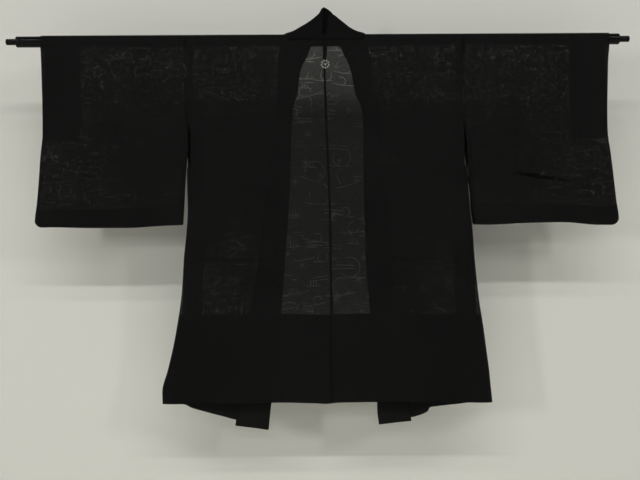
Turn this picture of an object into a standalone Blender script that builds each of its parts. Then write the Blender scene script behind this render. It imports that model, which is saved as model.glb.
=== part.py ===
"""Sheer black haori jacket, hung flat by its sleeves on a rod.

The garment's back faces -Y and its fronts face +Y.  X runs along the rod and Z
points up.  The origin is on the rod's axis, where the rod carries the shoulders.
Every piece of cloth is a grid of points bent into its hanging shape and then
given the thickness of the cloth, so the pieces meet along the same seams.
"""
import math

import bmesh
import bpy
from mathutils import Vector

# ---------------------------------------------------------------- sizes, metres
ROD_RADIUS = 0.0125
ROD_LENGTH = 1.375
ROD_CENTRE_X = -0.0145
PIN_RADIUS = 0.007
PIN_LENGTH = 0.022

CLOTH = 0.0012
COLLAR_CLOTH = 0.0016
SEAM_GAP = 0.0003
ARC_STEPS = 8
CLEAR_OF_ROD = (ROD_RADIUS + SEAM_GAP) / math.cos(math.pi / 2 / ARC_STEPS)
DRAPE_RADIUS = CLEAR_OF_ROD + CLOTH / 2
COLLAR_DRAPE_RADIUS = CLEAR_OF_ROD + COLLAR_CLOTH / 2

NECK_CENTRE_X = -0.0025
COLLAR_WIDTH = 0.0755
COLLAR_TURN_RADIUS = 0.0017
CUFF_DEPTH = 0.227
SLEEVE_CORNER = 0.018
BAG_BOTTOM_HALF_GAP = 0.0025
SEWN_HALF_GAP = 0.0010

SIDES = {"left": -1.0, "right": 1.0}

# ------------------------------------------------------------- mesh resolution
BODY_ROWS = 24
OUTER_COLUMNS = 7
INNER_COLUMNS = 3
SLEEVE_ROWS = 12
SLEEVE_COLUMNS = 11
GUSSET_TOP = 0.351
GUSSET_ROWS = 16
COLLAR_MAIN_COLUMNS = 7
COLLAR_TURN_COLUMNS = 3
COLLAR_COLUMNS = COLLAR_MAIN_COLUMNS + COLLAR_TURN_COLUMNS


def table(columns, *rows):
    """Rows of numbers kept under the names of their columns."""
    names = columns.split()
    return {name: [row[i] for row in rows] for i, name in enumerate(names)}


# --------------------------------------------------- outlines, a row per height
# Distances out from x = 0, at a drop below the rod's axis.
BACK_SIDE = table(
    "drop left right",
    (0.000, 0.3140, 0.3152),
    (0.150, 0.3140, 0.3152),
    (0.205, 0.3115, 0.3138),
    (0.245, 0.3095, 0.3140),
    (0.290, 0.3118, 0.3165),
    (0.338, 0.3138, 0.3215),
    (0.432, 0.3146, 0.3295),
    (0.500, 0.3188, 0.3345),
    (0.620, 0.3245, 0.3420),
    (0.700, 0.3310, 0.3490),
    (0.780, 0.3384, 0.3565),
    (0.824, 0.3410, 0.3610),
)
GUSSET_FOLD = table(
    "drop left right",
    (0.289, 0.3137, 0.3190),
    (0.338, 0.3152, 0.3238),
    (0.432, 0.3160, 0.3329),
    (0.500, 0.3210, 0.3392),
    (0.594, 0.3280, 0.3488),
    (0.656, 0.3374, 0.3575),
    (0.694, 0.3446, 0.3625),
    (0.750, 0.3575, 0.3694),
    (0.800, 0.3684, 0.3740),
    (0.824, 0.3672, 0.3765),
)
SLEEVE_OUTER = table(
    "drop left right",
    (0.000, 0.6432, 0.6475),
    (0.060, 0.6415, 0.6440),
    (0.140, 0.6416, 0.6440),
    (0.210, 0.6424, 0.6454),
    (0.260, 0.6475, 0.6522),
    (0.320, 0.6520, 0.6592),
    (0.370, 0.6566, 0.6648),
    (0.405, 0.6612, 0.6700),
    (0.430, 0.6625, 0.6708),
)
SLEEVE_INNER = table(
    "drop left right",
    (0.000, 0.3143, 0.3155),
    (0.190, 0.3143, 0.3157),
    (0.235, 0.3148, 0.3185),
    (0.283, 0.3172, 0.3220),
    (0.338, 0.3205, 0.3283),
    (0.393, 0.3255, 0.3331),
    (0.425, 0.3285, 0.3378),
)
# Lower edges, as a drop at a distance out from x = 0.
SLEEVE_BOTTOM = table(
    "out left right",
    (0.310, 0.4180, 0.4195),
    (0.375, 0.4205, 0.4215),
    (0.450, 0.4245, 0.4185),
    (0.540, 0.4245, 0.4166),
    (0.620, 0.4228, 0.4232),
    (0.670, 0.4240, 0.4238),
)
BACK_HEM = table(
    "out left right",
    (0.000, 0.8262, 0.8262),
    (0.030, 0.8240, 0.8235),
    (0.120, 0.8228, 0.8222),
    (0.250, 0.8240, 0.8228),
    (0.360, 0.8250, 0.8246),
)
FRONT_HEM = table(
    "out left right",
    (0.190, 0.8695, 0.8672),
    (0.2095, 0.8668, 0.8600),
    (0.235, 0.8590, 0.8458),
    (0.276, 0.8474, 0.8352),
    (0.308, 0.8358, 0.8318),
    (0.324, 0.8298, 0.8298),
    (0.370, 0.8262, 0.8276),
)
# Collar down the fronts: where its seam lies and where its fold or edge shows.
COLLAR_FRONT = {
    "left": table(
        "seam_drop seam_out edge_drop edge_out",
        (0.000, 0.0985, 0.0400, 0.0455),
        (0.023, 0.1012, 0.0590, 0.0522),
        (0.053, 0.1045, 0.0830, 0.0580),
        (0.093, 0.1068, 0.1170, 0.0640),
        (0.142, 0.1088, 0.1550, 0.0745),
        (0.205, 0.1160, 0.2090, 0.0780),
        (0.330, 0.1330, 0.3320, 0.0822),
        (0.505, 0.1562, 0.5080, 0.0923),
        (0.620, 0.1714, 0.6240, 0.1003),
        (0.748, 0.1898, 0.7550, 0.1172),
        (0.8805, 0.2085, 0.8912, 0.1334),
    ),
    "right": table(
        "seam_drop seam_out edge_drop edge_out",
        (0.000, 0.0985, 0.0400, 0.0472),
        (0.023, 0.1008, 0.0590, 0.0545),
        (0.053, 0.1045, 0.0830, 0.0622),
        (0.093, 0.1090, 0.1170, 0.0695),
        (0.142, 0.1140, 0.1550, 0.0828),
        (0.205, 0.1205, 0.2090, 0.0862),
        (0.330, 0.1333, 0.3320, 0.0868),
        (0.505, 0.1508, 0.5080, 0.0912),
        (0.620, 0.1632, 0.6240, 0.0995),
        (0.745, 0.1795, 0.7490, 0.1118),
        (0.8722, 0.1972, 0.8790, 0.1238),
    ),
}
# Neck seam where it crosses the rod: behind, on top of and before the rod.
NECK_SEAM = table(
    "place left right",
    (-1.0, 0.0830, 0.0905),
    (0.0, 0.0905, 0.0945),
    (1.0, 0.0985, 0.0985),
)
# Collar standing up round the neck, as four guide points from seam to edge at
# each section.  out is from the neck's centre, depth is along Y.  The seam's own
# point is left out of the rows on the rod, where NECK_SEAM gives it.
COLLAR_NECK = table(
    "out near_out near_depth near_height far_out far_depth far_height"
    " edge_out edge_depth edge_height",
    (0.000, 0.000, -0.0150, 0.026, 0.0000, -0.0112, 0.052, 0.0000, -0.0092, 0.0718),
    (0.006, 0.006, -0.0150, 0.026, 0.0050, -0.0148, 0.053, 0.0032, -0.0095, 0.0700),
    (0.016, 0.015, -0.0150, 0.026, 0.0108, -0.0145, 0.061, 0.0078, -0.0060, 0.0628),
    (0.034, 0.030, -0.0148, 0.025, 0.0190, -0.0120, 0.0745, 0.0108, 0.0010, 0.0440),
    (0.058, 0.051, -0.0142, 0.026, 0.0314, -0.0060, 0.0635, 0.0190, 0.0090, 0.0250),
    (0.0795, 0.071, -0.0120, 0.023, 0.0464, 0.0060, 0.041, 0.0268, 0.0158, 0.0080),
    (0.0870, 0.079, 0.0040, 0.024, 0.0560, 0.0215, 0.0145, 0.0335, 0.0172, -0.0130),
)
# Soft folds that start below the rod, a row for each.
FOLDS = table(
    "centre width depth start lean",
    (-0.285, 0.030, 0.0030, 0.30, 0.05),
    (-0.205, 0.045, -0.0026, 0.45, -0.03),
    (-0.120, 0.035, 0.0034, 0.35, 0.04),
    (-0.030, 0.050, -0.0020, 0.50, 0.00),
    (0.060, 0.040, 0.0028, 0.40, -0.05),
    (0.150, 0.035, -0.0030, 0.40, 0.03),
    (0.235, 0.045, 0.0032, 0.30, 0.02),
    (0.310, 0.028, -0.0024, 0.45, 0.04),
)
SLEEVE_FOLDS = table(
    "centre width depth start lean",
    (-0.600, 0.030, 0.0040, 0.15, 0.06),
    (-0.500, 0.050, -0.0035, 0.10, 0.02),
    (-0.400, 0.040, 0.0030, 0.20, -0.04),
    (0.390, 0.040, -0.0034, 0.12, 0.03),
    (0.480, 0.045, 0.0042, 0.10, 0.05),
    (0.590, 0.035, -0.0038, 0.15, -0.06),
)


# ------------------------------------------------------------------ small maths
def smooth(value):
    """0 to 1 with soft ends."""
    value = min(max(value, 0.0), 1.0)
    return value * value * (3.0 - 2.0 * value)


def mix(a, b, share):
    return a + (b - a) * share


def curve(xs, ys, at):
    """A soft curve through the points of one table column."""
    last = len(xs) - 1
    at = min(max(at, xs[0]), xs[last])
    i = 0
    while i < last - 1 and at > xs[i + 1]:
        i += 1
    slopes = [(ys[k + 1] - ys[k]) / (xs[k + 1] - xs[k]) for k in range(last)]

    def tangent(k):
        if k == 0:
            return slopes[0]
        if k == last:
            return slopes[-1]
        before, after = slopes[k - 1], slopes[k]
        if before * after <= 0.0:
            return 0.0
        return 2.0 * before * after / (before + after)

    span = xs[i + 1] - xs[i]
    t = (at - xs[i]) / span
    h00 = (1 + 2 * t) * (1 - t) ** 2
    h10 = t * (1 - t) ** 2
    h01 = t * t * (3 - 2 * t)
    h11 = t * t * (t - 1)
    return h00 * ys[i] + h10 * span * tangent(i) + h01 * ys[i + 1] + h11 * span * tangent(i + 1)


def along(rows, column, at):
    """Value of a table's column at a place in its first column."""
    first = next(iter(rows))
    return curve(rows[first], rows[column], at)


def fold_depth(folds, x, drop):
    """How far the soft folds push the cloth along Y."""
    depth = 0.0
    for i in range(len(folds["centre"])):
        centre = folds["centre"][i] + folds["lean"][i] * drop
        reach = (x - centre) / folds["width"][i]
        grown = smooth((drop - 0.25 * folds["start"][i]) / max(0.05, 0.9 - folds["start"][i]))
        depth += folds["depth"][i] * math.exp(-reach * reach) * grown
    return depth


# ------------------------------------------------------------- hanging surfaces
def back_depth(x, drop):
    """Y of the back's middle surface, toward the viewer of the back."""
    return -DRAPE_RADIUS - 0.0015 * smooth(drop / 0.5) + fold_depth(FOLDS, x, drop)


def front_depth(x, drop):
    """Y of the fronts' middle surface."""
    return DRAPE_RADIUS + 0.0030 * smooth(drop / 0.6) + 0.8 * fold_depth(FOLDS, x + 0.045, drop)


def over_rod(x, angle, radius=DRAPE_RADIUS):
    """A point over the rod: angle -90 is behind it, 0 on top, +90 before it."""
    turn = math.radians(angle)
    return Vector((x, radius * math.sin(turn), radius * math.cos(turn)))


def neck_seam_out(side, angle):
    return along(NECK_SEAM, side, angle / 90.0)


def collar_end_drop(side):
    return COLLAR_FRONT[side]["seam_drop"][-1]


def body_level(row):
    """Share of the way down from the rod to the hem, for a row of the body."""
    return row / BODY_ROWS


def back_side_point(side, level):
    """Side seam of the back at one level."""
    out = along(BACK_SIDE, side, level * BACK_SIDE["drop"][-1])
    return out, level * along(BACK_HEM, side, out)


def front_side_point(side, level):
    """Side seam of a front at one level."""
    out = along(BACK_SIDE, side, level * BACK_SIDE["drop"][-1])
    return out, level * along(FRONT_HEM, side, out)


def front_seam_point(side, level):
    """Collar seam of a front at one level; the front's hem stops short of the collar's."""
    along_collar = level * collar_end_drop(side)
    hem_out = FRONT_HEM["out"][1]
    own_hem = level * along(FRONT_HEM, side, hem_out)
    drop = mix(along_collar, own_hem, level ** 6)
    return along(COLLAR_FRONT[side], "seam_out", drop), drop


# ------------------------------------------------------------------ mesh making
def new_material(name, colour, roughness, metallic=0.0):
    material = bpy.data.materials.new(name)
    material.use_nodes = True
    shader = material.node_tree.nodes["Principled BSDF"]
    shader.inputs["Base Color"].default_value = (*colour, 1.0)
    shader.inputs["Roughness"].default_value = roughness
    shader.inputs["Metallic"].default_value = metallic
    material.diffuse_color = (*colour, 1.0)
    return material


def grid_sheet(columns, rows, place):
    """A grid of columns by rows faces, each point moved to place(column, row)."""
    mesh = bmesh.new()
    bmesh.ops.create_grid(mesh, x_segments=columns, y_segments=rows, size=0.5)
    for vertex in mesh.verts:
        column = round((vertex.co.x + 0.5) * columns)
        row = round((vertex.co.y + 0.5) * rows)
        vertex.co = place(column, row)
    return mesh


def join_sheets(first, second):
    """Add the second sheet to the first and weld the seam that they share."""
    extra = bpy.data.meshes.new("extra")
    second.to_mesh(extra)
    second.free()
    first.from_mesh(extra)
    bpy.data.meshes.remove(extra)
    bmesh.ops.remove_doubles(first, verts=first.verts, dist=0.00005)


def cloth_object(name, sheet, thickness, material, collection, even=True):
    """Turn a sheet into an object with the cloth's thickness about it."""
    bmesh.ops.recalc_face_normals(sheet, faces=sheet.faces)
    mesh = bpy.data.meshes.new(name)
    sheet.to_mesh(mesh)
    sheet.free()
    mesh.shade_smooth()
    mesh.materials.append(material)
    piece = bpy.data.objects.new(name, mesh)
    collection.objects.link(piece)
    solid = piece.modifiers.new("cloth", "SOLIDIFY")
    solid.thickness = thickness
    solid.offset = 0.0
    solid.use_even_offset = even
    return piece


# ------------------------------------------------------------------------ pieces
def make_rod(material, collection):
    """Round rod with a thinner pin at each end for its stand."""
    mesh = bmesh.new()
    half = ROD_LENGTH / 2
    sections = (
        (-half - PIN_LENGTH, PIN_RADIUS),
        (-half, PIN_RADIUS),
        (-half, ROD_RADIUS - 0.0015),
        (-half + 0.0015, ROD_RADIUS),
        (half - 0.0015, ROD_RADIUS),
        (half, ROD_RADIUS - 0.0015),
        (half, PIN_RADIUS),
        (half + PIN_LENGTH, PIN_RADIUS),
    )
    profile = [mesh.verts.new((x, 0.0, radius)) for x, radius in sections]
    for a, b in zip(profile, profile[1:]):
        mesh.edges.new((a, b))
    bmesh.ops.spin(
        mesh,
        geom=list(mesh.verts) + list(mesh.edges),
        cent=(0.0, 0.0, 0.0),
        axis=(1.0, 0.0, 0.0),
        angle=math.tau,
        steps=36,
        use_merge=True,
    )
    bmesh.ops.remove_doubles(mesh, verts=mesh.verts, dist=0.00001)
    open_ends = [edge for edge in mesh.edges if edge.is_boundary]
    bmesh.ops.contextual_create(mesh, geom=open_ends)
    bmesh.ops.holes_fill(mesh, edges=[edge for edge in mesh.edges if edge.is_boundary])
    bmesh.ops.recalc_face_normals(mesh, faces=mesh.faces)
    data = bpy.data.meshes.new("rod")
    mesh.to_mesh(data)
    mesh.free()
    data.shade_smooth()
    data.set_sharp_from_angle(angle=math.radians(40.0))
    data.materials.append(material)
    rod = bpy.data.objects.new("rod", data)
    rod.location.x = ROD_CENTRE_X
    collection.objects.link(rod)
    return rod


def body_sheet(side):
    """One body width: back, over the shoulder and down the front, in one length."""
    sign = SIDES[side]

    def back_place(share, level):
        side_out = back_side_point(side, level)[0]
        out = mix(side_out, neck_seam_out(side, -90.0), share)
        drop = level * along(BACK_HEM, side, out)
        return Vector((sign * out, back_depth(sign * out, drop), -drop))

    def front_place(share, level):
        side_out = front_side_point(side, level)[0]
        seam_out, seam_drop = front_seam_point(side, level)
        out = mix(side_out, seam_out, share)
        short = seam_drop - level * along(FRONT_HEM, side, seam_out)
        drop = level * along(FRONT_HEM, side, out) + short * smooth(2.5 * share - 1.5)
        return Vector((sign * out, front_depth(sign * out, drop), -drop))

    def outer_place(column, row):
        share = column / OUTER_COLUMNS
        if row <= BODY_ROWS:
            return back_place(share, body_level(BODY_ROWS - row))
        if row < BODY_ROWS + ARC_STEPS:
            angle = -90.0 + 180.0 * (row - BODY_ROWS) / ARC_STEPS
            out = mix(BACK_SIDE[side][0], neck_seam_out(side, angle), share)
            return over_rod(sign * out, angle)
        return front_place(share, body_level(row - BODY_ROWS - ARC_STEPS))

    def inner_place(column, row):
        share = column / INNER_COLUMNS
        level = body_level(BODY_ROWS - row)
        seam = centre_seam_x(level * BACK_SIDE["drop"][-1]) + sign * SEAM_GAP / 2
        x = mix(sign * neck_seam_out(side, -90.0), seam, share)
        drop = level * along(BACK_HEM, side, abs(x))
        return Vector((x, back_depth(x, drop), -drop))

    sheet = grid_sheet(OUTER_COLUMNS, 2 * BODY_ROWS + ARC_STEPS, outer_place)
    join_sheets(sheet, grid_sheet(INNER_COLUMNS, BODY_ROWS, inner_place))
    return sheet


def centre_seam_x(drop):
    """The centre back seam wanders from the neck's centre to the right."""
    return mix(NECK_CENTRE_X, 0.0130, smooth(drop / 0.45) * 0.6 + 0.4 * drop / 0.824)


def sleeve_half_gap(side, out, drop):
    """Half the space between a sleeve's back and front layers."""
    bottom = along(SLEEVE_BOTTOM, side, out)
    level = min(drop / bottom, 1.0)
    inner = mix(BAG_BOTTOM_HALF_GAP, DRAPE_RADIUS, (1.0 - level ** 3) ** 0.8)
    closed = min(drop / CUFF_DEPTH, 1.0)
    outer = mix(SEWN_HALF_GAP, DRAPE_RADIUS, 1.0 - smooth(closed) ** 0.8)
    near_cuff = smooth((out - 0.50) / (0.640 - 0.50))
    return mix(inner, outer, near_cuff)


def sleeve_bottom_drop(side, out):
    """Lower edge of a sleeve, rising round the outer corner."""
    drop = along(SLEEVE_BOTTOM, side, out)
    reach = out - (along(SLEEVE_OUTER, side, drop) - SLEEVE_CORNER)
    reach = min(max(reach / SLEEVE_CORNER, 0.0), 1.0)
    return drop - SLEEVE_CORNER * (1.0 - math.sqrt(1.0 - reach * reach))


def sleeve_column_share(column):
    """Columns gather toward the sleeve's outer edge, where it rounds."""
    share = column / SLEEVE_COLUMNS
    return 1.0 - (1.0 - share) ** 1.6


def sleeve_sheet(side):
    """A bag folded over the rod: front and back layers joined along the bottom."""
    sign = SIDES[side]
    turn_steps = 4
    ring = 2 * SLEEVE_ROWS + ARC_STEPS + turn_steps

    def layer_point(share, level, facing):
        guess = level * 0.42
        for _ in range(3):
            inner = along(SLEEVE_INNER, side, guess)
            outer = along(SLEEVE_OUTER, side, guess)
            out = mix(inner, outer, share)
            bottom = sleeve_bottom_drop(side, out)
            turn = sleeve_half_gap(side, out, bottom)
            guess = level * (bottom - turn)
        half_gap = sleeve_half_gap(side, out, guess)
        sway = fold_depth(SLEEVE_FOLDS, sign * out, guess)
        return Vector((sign * out, sway + facing * half_gap, -guess))

    def place(column, row):
        share = sleeve_column_share(column)
        row = row % ring
        if row <= SLEEVE_ROWS:
            return layer_point(share, 1.0 - row / SLEEVE_ROWS, -1.0)
        if row < SLEEVE_ROWS + ARC_STEPS:
            angle = -90.0 + 180.0 * (row - SLEEVE_ROWS) / ARC_STEPS
            out = mix(SLEEVE_INNER[side][0], SLEEVE_OUTER[side][0], share)
            return over_rod(sign * out, angle)
        if row <= 2 * SLEEVE_ROWS + ARC_STEPS:
            return layer_point(share, (row - SLEEVE_ROWS - ARC_STEPS) / SLEEVE_ROWS, 1.0)
        angle = math.pi * (row - 2 * SLEEVE_ROWS - ARC_STEPS) / turn_steps
        front = layer_point(share, 1.0, 1.0)
        back = layer_point(share, 1.0, -1.0)
        half = (front.y - back.y) / 2
        middle = (front.y + back.y) / 2
        return Vector((front.x, middle + half * math.cos(angle), front.z - half * math.sin(angle)))

    sheet = grid_sheet(SLEEVE_COLUMNS, ring, place)
    bmesh.ops.remove_doubles(sheet, verts=sheet.verts, dist=0.00005)
    return sheet


def bezier(a, b, c, d, t):
    s = 1.0 - t
    return a * s ** 3 + b * 3 * s * s * t + c * 3 * s * t * t + d * t ** 3


def neck_guides(side, place):
    """Four guide points of the collar at a place round the neck, 0 to 7.

    0 is the centre back, 5 the shoulder behind the rod, 6 on top of it and 7
    before it, where the fronts begin.
    """
    sign = SIDES[side]
    stretch = (neck_seam_out(side, 0.0) - sign * NECK_CENTRE_X) / COLLAR_NECK["out"][-1]
    rows = len(COLLAR_NECK["out"])

    def guide(name):
        axes = []
        for axis in ("out", "depth", "height"):
            values = COLLAR_NECK[name + "_" + axis]
            axes.append(curve(list(range(rows)), values, min(place, rows - 1)))
        return Vector((NECK_CENTRE_X + sign * stretch * axes[0], axes[1], axes[2]))

    if place <= 5.0:
        near_end = neck_seam_out(side, -90.0) - SEAM_GAP - sign * NECK_CENTRE_X
        share = curve(list(range(6)), COLLAR_NECK["out"][:6], place) / COLLAR_NECK["out"][5]
        seam = Vector((NECK_CENTRE_X + sign * near_end * share, -COLLAR_DRAPE_RADIUS, SEAM_GAP))
    else:
        angle = (place - 6.0) * 90.0
        seam = over_rod(sign * (neck_seam_out(side, angle) - SEAM_GAP), angle, COLLAR_DRAPE_RADIUS)
    return [seam, guide("near"), guide("far"), guide("edge")]


def front_guides(side, level):
    """Four guide points of the collar down a front, from the rod's height to its end."""
    sign = SIDES[side]
    seam_drop = level * collar_end_drop(side)
    seam_out = along(COLLAR_FRONT[side], "seam_out", seam_drop) - SEAM_GAP
    edge_out = along(COLLAR_FRONT[side], "edge_out", seam_drop)
    edge_drop = along(COLLAR_FRONT[side], "edge_drop", seam_drop)
    thicker = (COLLAR_CLOTH - CLOTH) / 2
    seam_depth = front_depth(sign * seam_out, seam_drop) + thicker
    edge_depth = front_depth(sign * edge_out, edge_drop) + 0.001
    seam = Vector((sign * seam_out, seam_depth, -seam_drop))
    edge = Vector((sign * edge_out, edge_depth, -edge_drop))
    bulge = Vector((0.0, 0.0012, 0.0))
    return [seam, seam.lerp(edge, 1 / 3) + bulge, seam.lerp(edge, 2 / 3) + bulge, edge]


def collar_guides(side, place):
    """Guides anywhere from the centre back to a front's hem."""
    if place >= 7.0:
        return front_guides(side, place - 7.0)
    if place <= 6.0:
        return neck_guides(side, place)
    over = neck_guides(side, place)
    top = neck_guides(side, 6.0)
    below = front_guides(side, 0.0)
    share = place - 6.0
    blend = [a.lerp(b, share) for a, b in zip(top, below)]
    outward = Vector((0.0, 0.0060, 0.0060)) * math.sin(math.pi * share)
    return [over[0], blend[1] + outward, blend[2] + outward, blend[3]]


def walk(points, share):
    """Point at a share of the length of a run of points."""
    steps = [(b - a).length for a, b in zip(points, points[1:])]
    left = share * sum(steps)
    for start, end, step in zip(points, points[1:], steps):
        if left <= step:
            return start.lerp(end, left / step)
        left -= step
    return points[-1].copy()


def collar_section(side, place):
    """Points across the collar: seam to fold, then the part turned outward."""
    guides = collar_guides(side, place)
    fine = [bezier(*guides, i / 40) for i in range(41)]
    length = sum((b - a).length for a, b in zip(fine, fine[1:]))
    points = [walk(fine, i / COLLAR_MAIN_COLUMNS) for i in range(COLLAR_MAIN_COLUMNS + 1)]
    lip = 0.0015
    folding = smooth((place - 6.3) / 0.7)
    spare = mix(lip, max(COLLAR_WIDTH - length, lip), folding)
    turned = math.pi * folding * smooth((spare - lip) / 0.007)
    bend = turned * COLLAR_TURN_RADIUS
    share = smooth(turned / math.pi)
    reaches = (mix(spare / 3, bend / 2, share), mix(spare * 2 / 3, bend, share), spare)
    ahead = (fine[-1] - fine[-4]).normalized()
    outward = Vector((0.0, 1.0, 0.0))
    outward = (outward - ahead * outward.dot(ahead)).normalized()
    for reach in reaches:
        arc = min(reach, bend)
        angle = arc / COLLAR_TURN_RADIUS
        straight = reach - arc
        forward = COLLAR_TURN_RADIUS * math.sin(angle) + straight * math.cos(turned)
        lifted = COLLAR_TURN_RADIUS * (1.0 - math.cos(angle)) + straight * math.sin(turned)
        points.append(points[COLLAR_MAIN_COLUMNS] + ahead * forward + outward * lifted)
    return points


def collar_places():
    """Where the collar's sections lie, from centre back to hem."""
    neck = [0.5 * i for i in range(11)]
    rod = [5.0 + 2.0 * (i + 1) / ARC_STEPS for i in range(ARC_STEPS)]
    front = [7.0 + body_level(i + 1) for i in range(BODY_ROWS)]
    return neck + rod + front


def collar_sheet():
    """The whole collar strip, from the left hem round the neck to the right hem."""
    places = collar_places()
    sections = [collar_section("left", place) for place in reversed(places[1:])]
    sections += [collar_section("right", place) for place in places]

    def place(column, row):
        return sections[row][column]

    return grid_sheet(COLLAR_COLUMNS, len(sections) - 1, place)


def gusset_sheet(side):
    """Narrow side panel between back and front, folded outward."""
    sign = SIDES[side]
    columns = 4
    clear = SEAM_GAP + CLOTH / 2

    def place(column, row):
        level = mix(GUSSET_TOP, 1.0, row / GUSSET_ROWS)
        back_out, back_drop = back_side_point(side, level)
        front_out, front_drop = front_side_point(side, level)
        share = column / columns
        drop = mix(back_drop, front_drop, share)
        near = back_depth(sign * back_out, back_drop)
        far = front_depth(sign * front_out, front_drop)
        seam_out = mix(back_out, front_out, share) + clear
        fold_out = max(along(GUSSET_FOLD, side, drop) - CLOTH / 2, seam_out + 0.0002)
        out = mix(seam_out, fold_out, math.sin(math.pi * share) ** 0.8)
        return Vector((sign * out, mix(near, far, share), -drop))

    return grid_sheet(columns, GUSSET_ROWS, place)


# ------------------------------------------------------------------------- build
def clear_scene():
    for item in list(bpy.data.objects):
        bpy.data.objects.remove(item, do_unlink=True)


def build():
    clear_scene()
    collection = bpy.data.collections.new("haori_on_rod")
    bpy.context.scene.collection.children.link(collection)
    gauze = new_material("black_gauze", (0.012, 0.012, 0.012), 0.75)
    paint = new_material("black_paint", (0.015, 0.015, 0.016), 0.35)
    make_rod(paint, collection)
    for side in SIDES:
        cloth_object("body_" + side, body_sheet(side), CLOTH, gauze, collection)
        cloth_object("sleeve_" + side, sleeve_sheet(side), CLOTH, gauze, collection)
        cloth_object("gusset_" + side, gusset_sheet(side), CLOTH, gauze, collection)
    cloth_object("collar", collar_sheet(), COLLAR_CLOTH, gauze, collection, even=False)


build()
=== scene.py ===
# %% [markdown]
# # A sheer black haori on a rod
# A haori is a hip-length jacket worn over a kimono.  This one is for summer: one
# layer of black figured gauze, with the wall behind it showing through wherever the
# cloth lies single.  It hangs by its sleeves on a round rod, with its back to the
# viewer.  The lesson builds every piece of cloth as a thin shell bent over the rod,
# and lets real layers of see-through cloth make most of the lighter and darker parts;
# a few patches of light and shade are painted into the cloth.
#
# First the measured model is loaded.  It fixes the sizes, and every piece below
# stands in for one of its nodes.

# %% Load the frame
import math

import bmesh
import bpy
import numpy as np
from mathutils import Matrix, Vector


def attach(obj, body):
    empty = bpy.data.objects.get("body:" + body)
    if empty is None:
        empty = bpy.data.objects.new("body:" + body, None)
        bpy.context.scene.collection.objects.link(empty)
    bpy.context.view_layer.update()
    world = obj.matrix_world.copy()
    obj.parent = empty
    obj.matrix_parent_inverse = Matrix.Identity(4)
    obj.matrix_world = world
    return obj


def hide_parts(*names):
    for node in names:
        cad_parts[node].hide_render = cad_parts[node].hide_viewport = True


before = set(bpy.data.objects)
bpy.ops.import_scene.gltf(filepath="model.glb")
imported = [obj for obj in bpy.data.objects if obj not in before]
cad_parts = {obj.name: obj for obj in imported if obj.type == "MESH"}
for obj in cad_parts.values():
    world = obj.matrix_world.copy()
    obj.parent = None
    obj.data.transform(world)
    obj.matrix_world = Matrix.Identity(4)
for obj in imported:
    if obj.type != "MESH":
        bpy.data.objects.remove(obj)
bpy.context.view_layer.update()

# %% [markdown]
# ## Camera
# The camera stands level, in front of the jacket's back, a little over halfway down
# it.  A lens could be picked by eye, but here it follows from how much of the wall the
# view's width should take in, so that the distance can change and the framing stays.
# The camera leans by 0.3 degrees, as one that is held in the hand does.

# %% Camera
VIEW_WIDTH = 1.459
VIEW_DISTANCE = 2.0
VIEW_CENTRE = (-0.0114, -0.4548)
VIEW_LEAN = 0.0052

scene = bpy.context.scene
camera_data = bpy.data.cameras.new("camera")
camera = bpy.data.objects.new("camera", camera_data)
scene.collection.objects.link(camera)
camera_data.lens = camera_data.sensor_width * VIEW_DISTANCE / VIEW_WIDTH
camera.location = (VIEW_CENTRE[0], -VIEW_DISTANCE, VIEW_CENTRE[1])
camera.rotation_euler = (math.pi / 2, VIEW_LEAN, 0.0)
scene.camera = camera
scene.view_settings.view_transform = "Standard"
print("lens", round(camera_data.lens, 1), "mm")

# %% [markdown]
# ## Node helpers
# Materials are built from nodes.  These short helpers add a node, join sockets and do
# sums, so that each material below reads like a recipe.  They could be joined by hand
# in the shader editor, but written down they come out the same every time.

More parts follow.
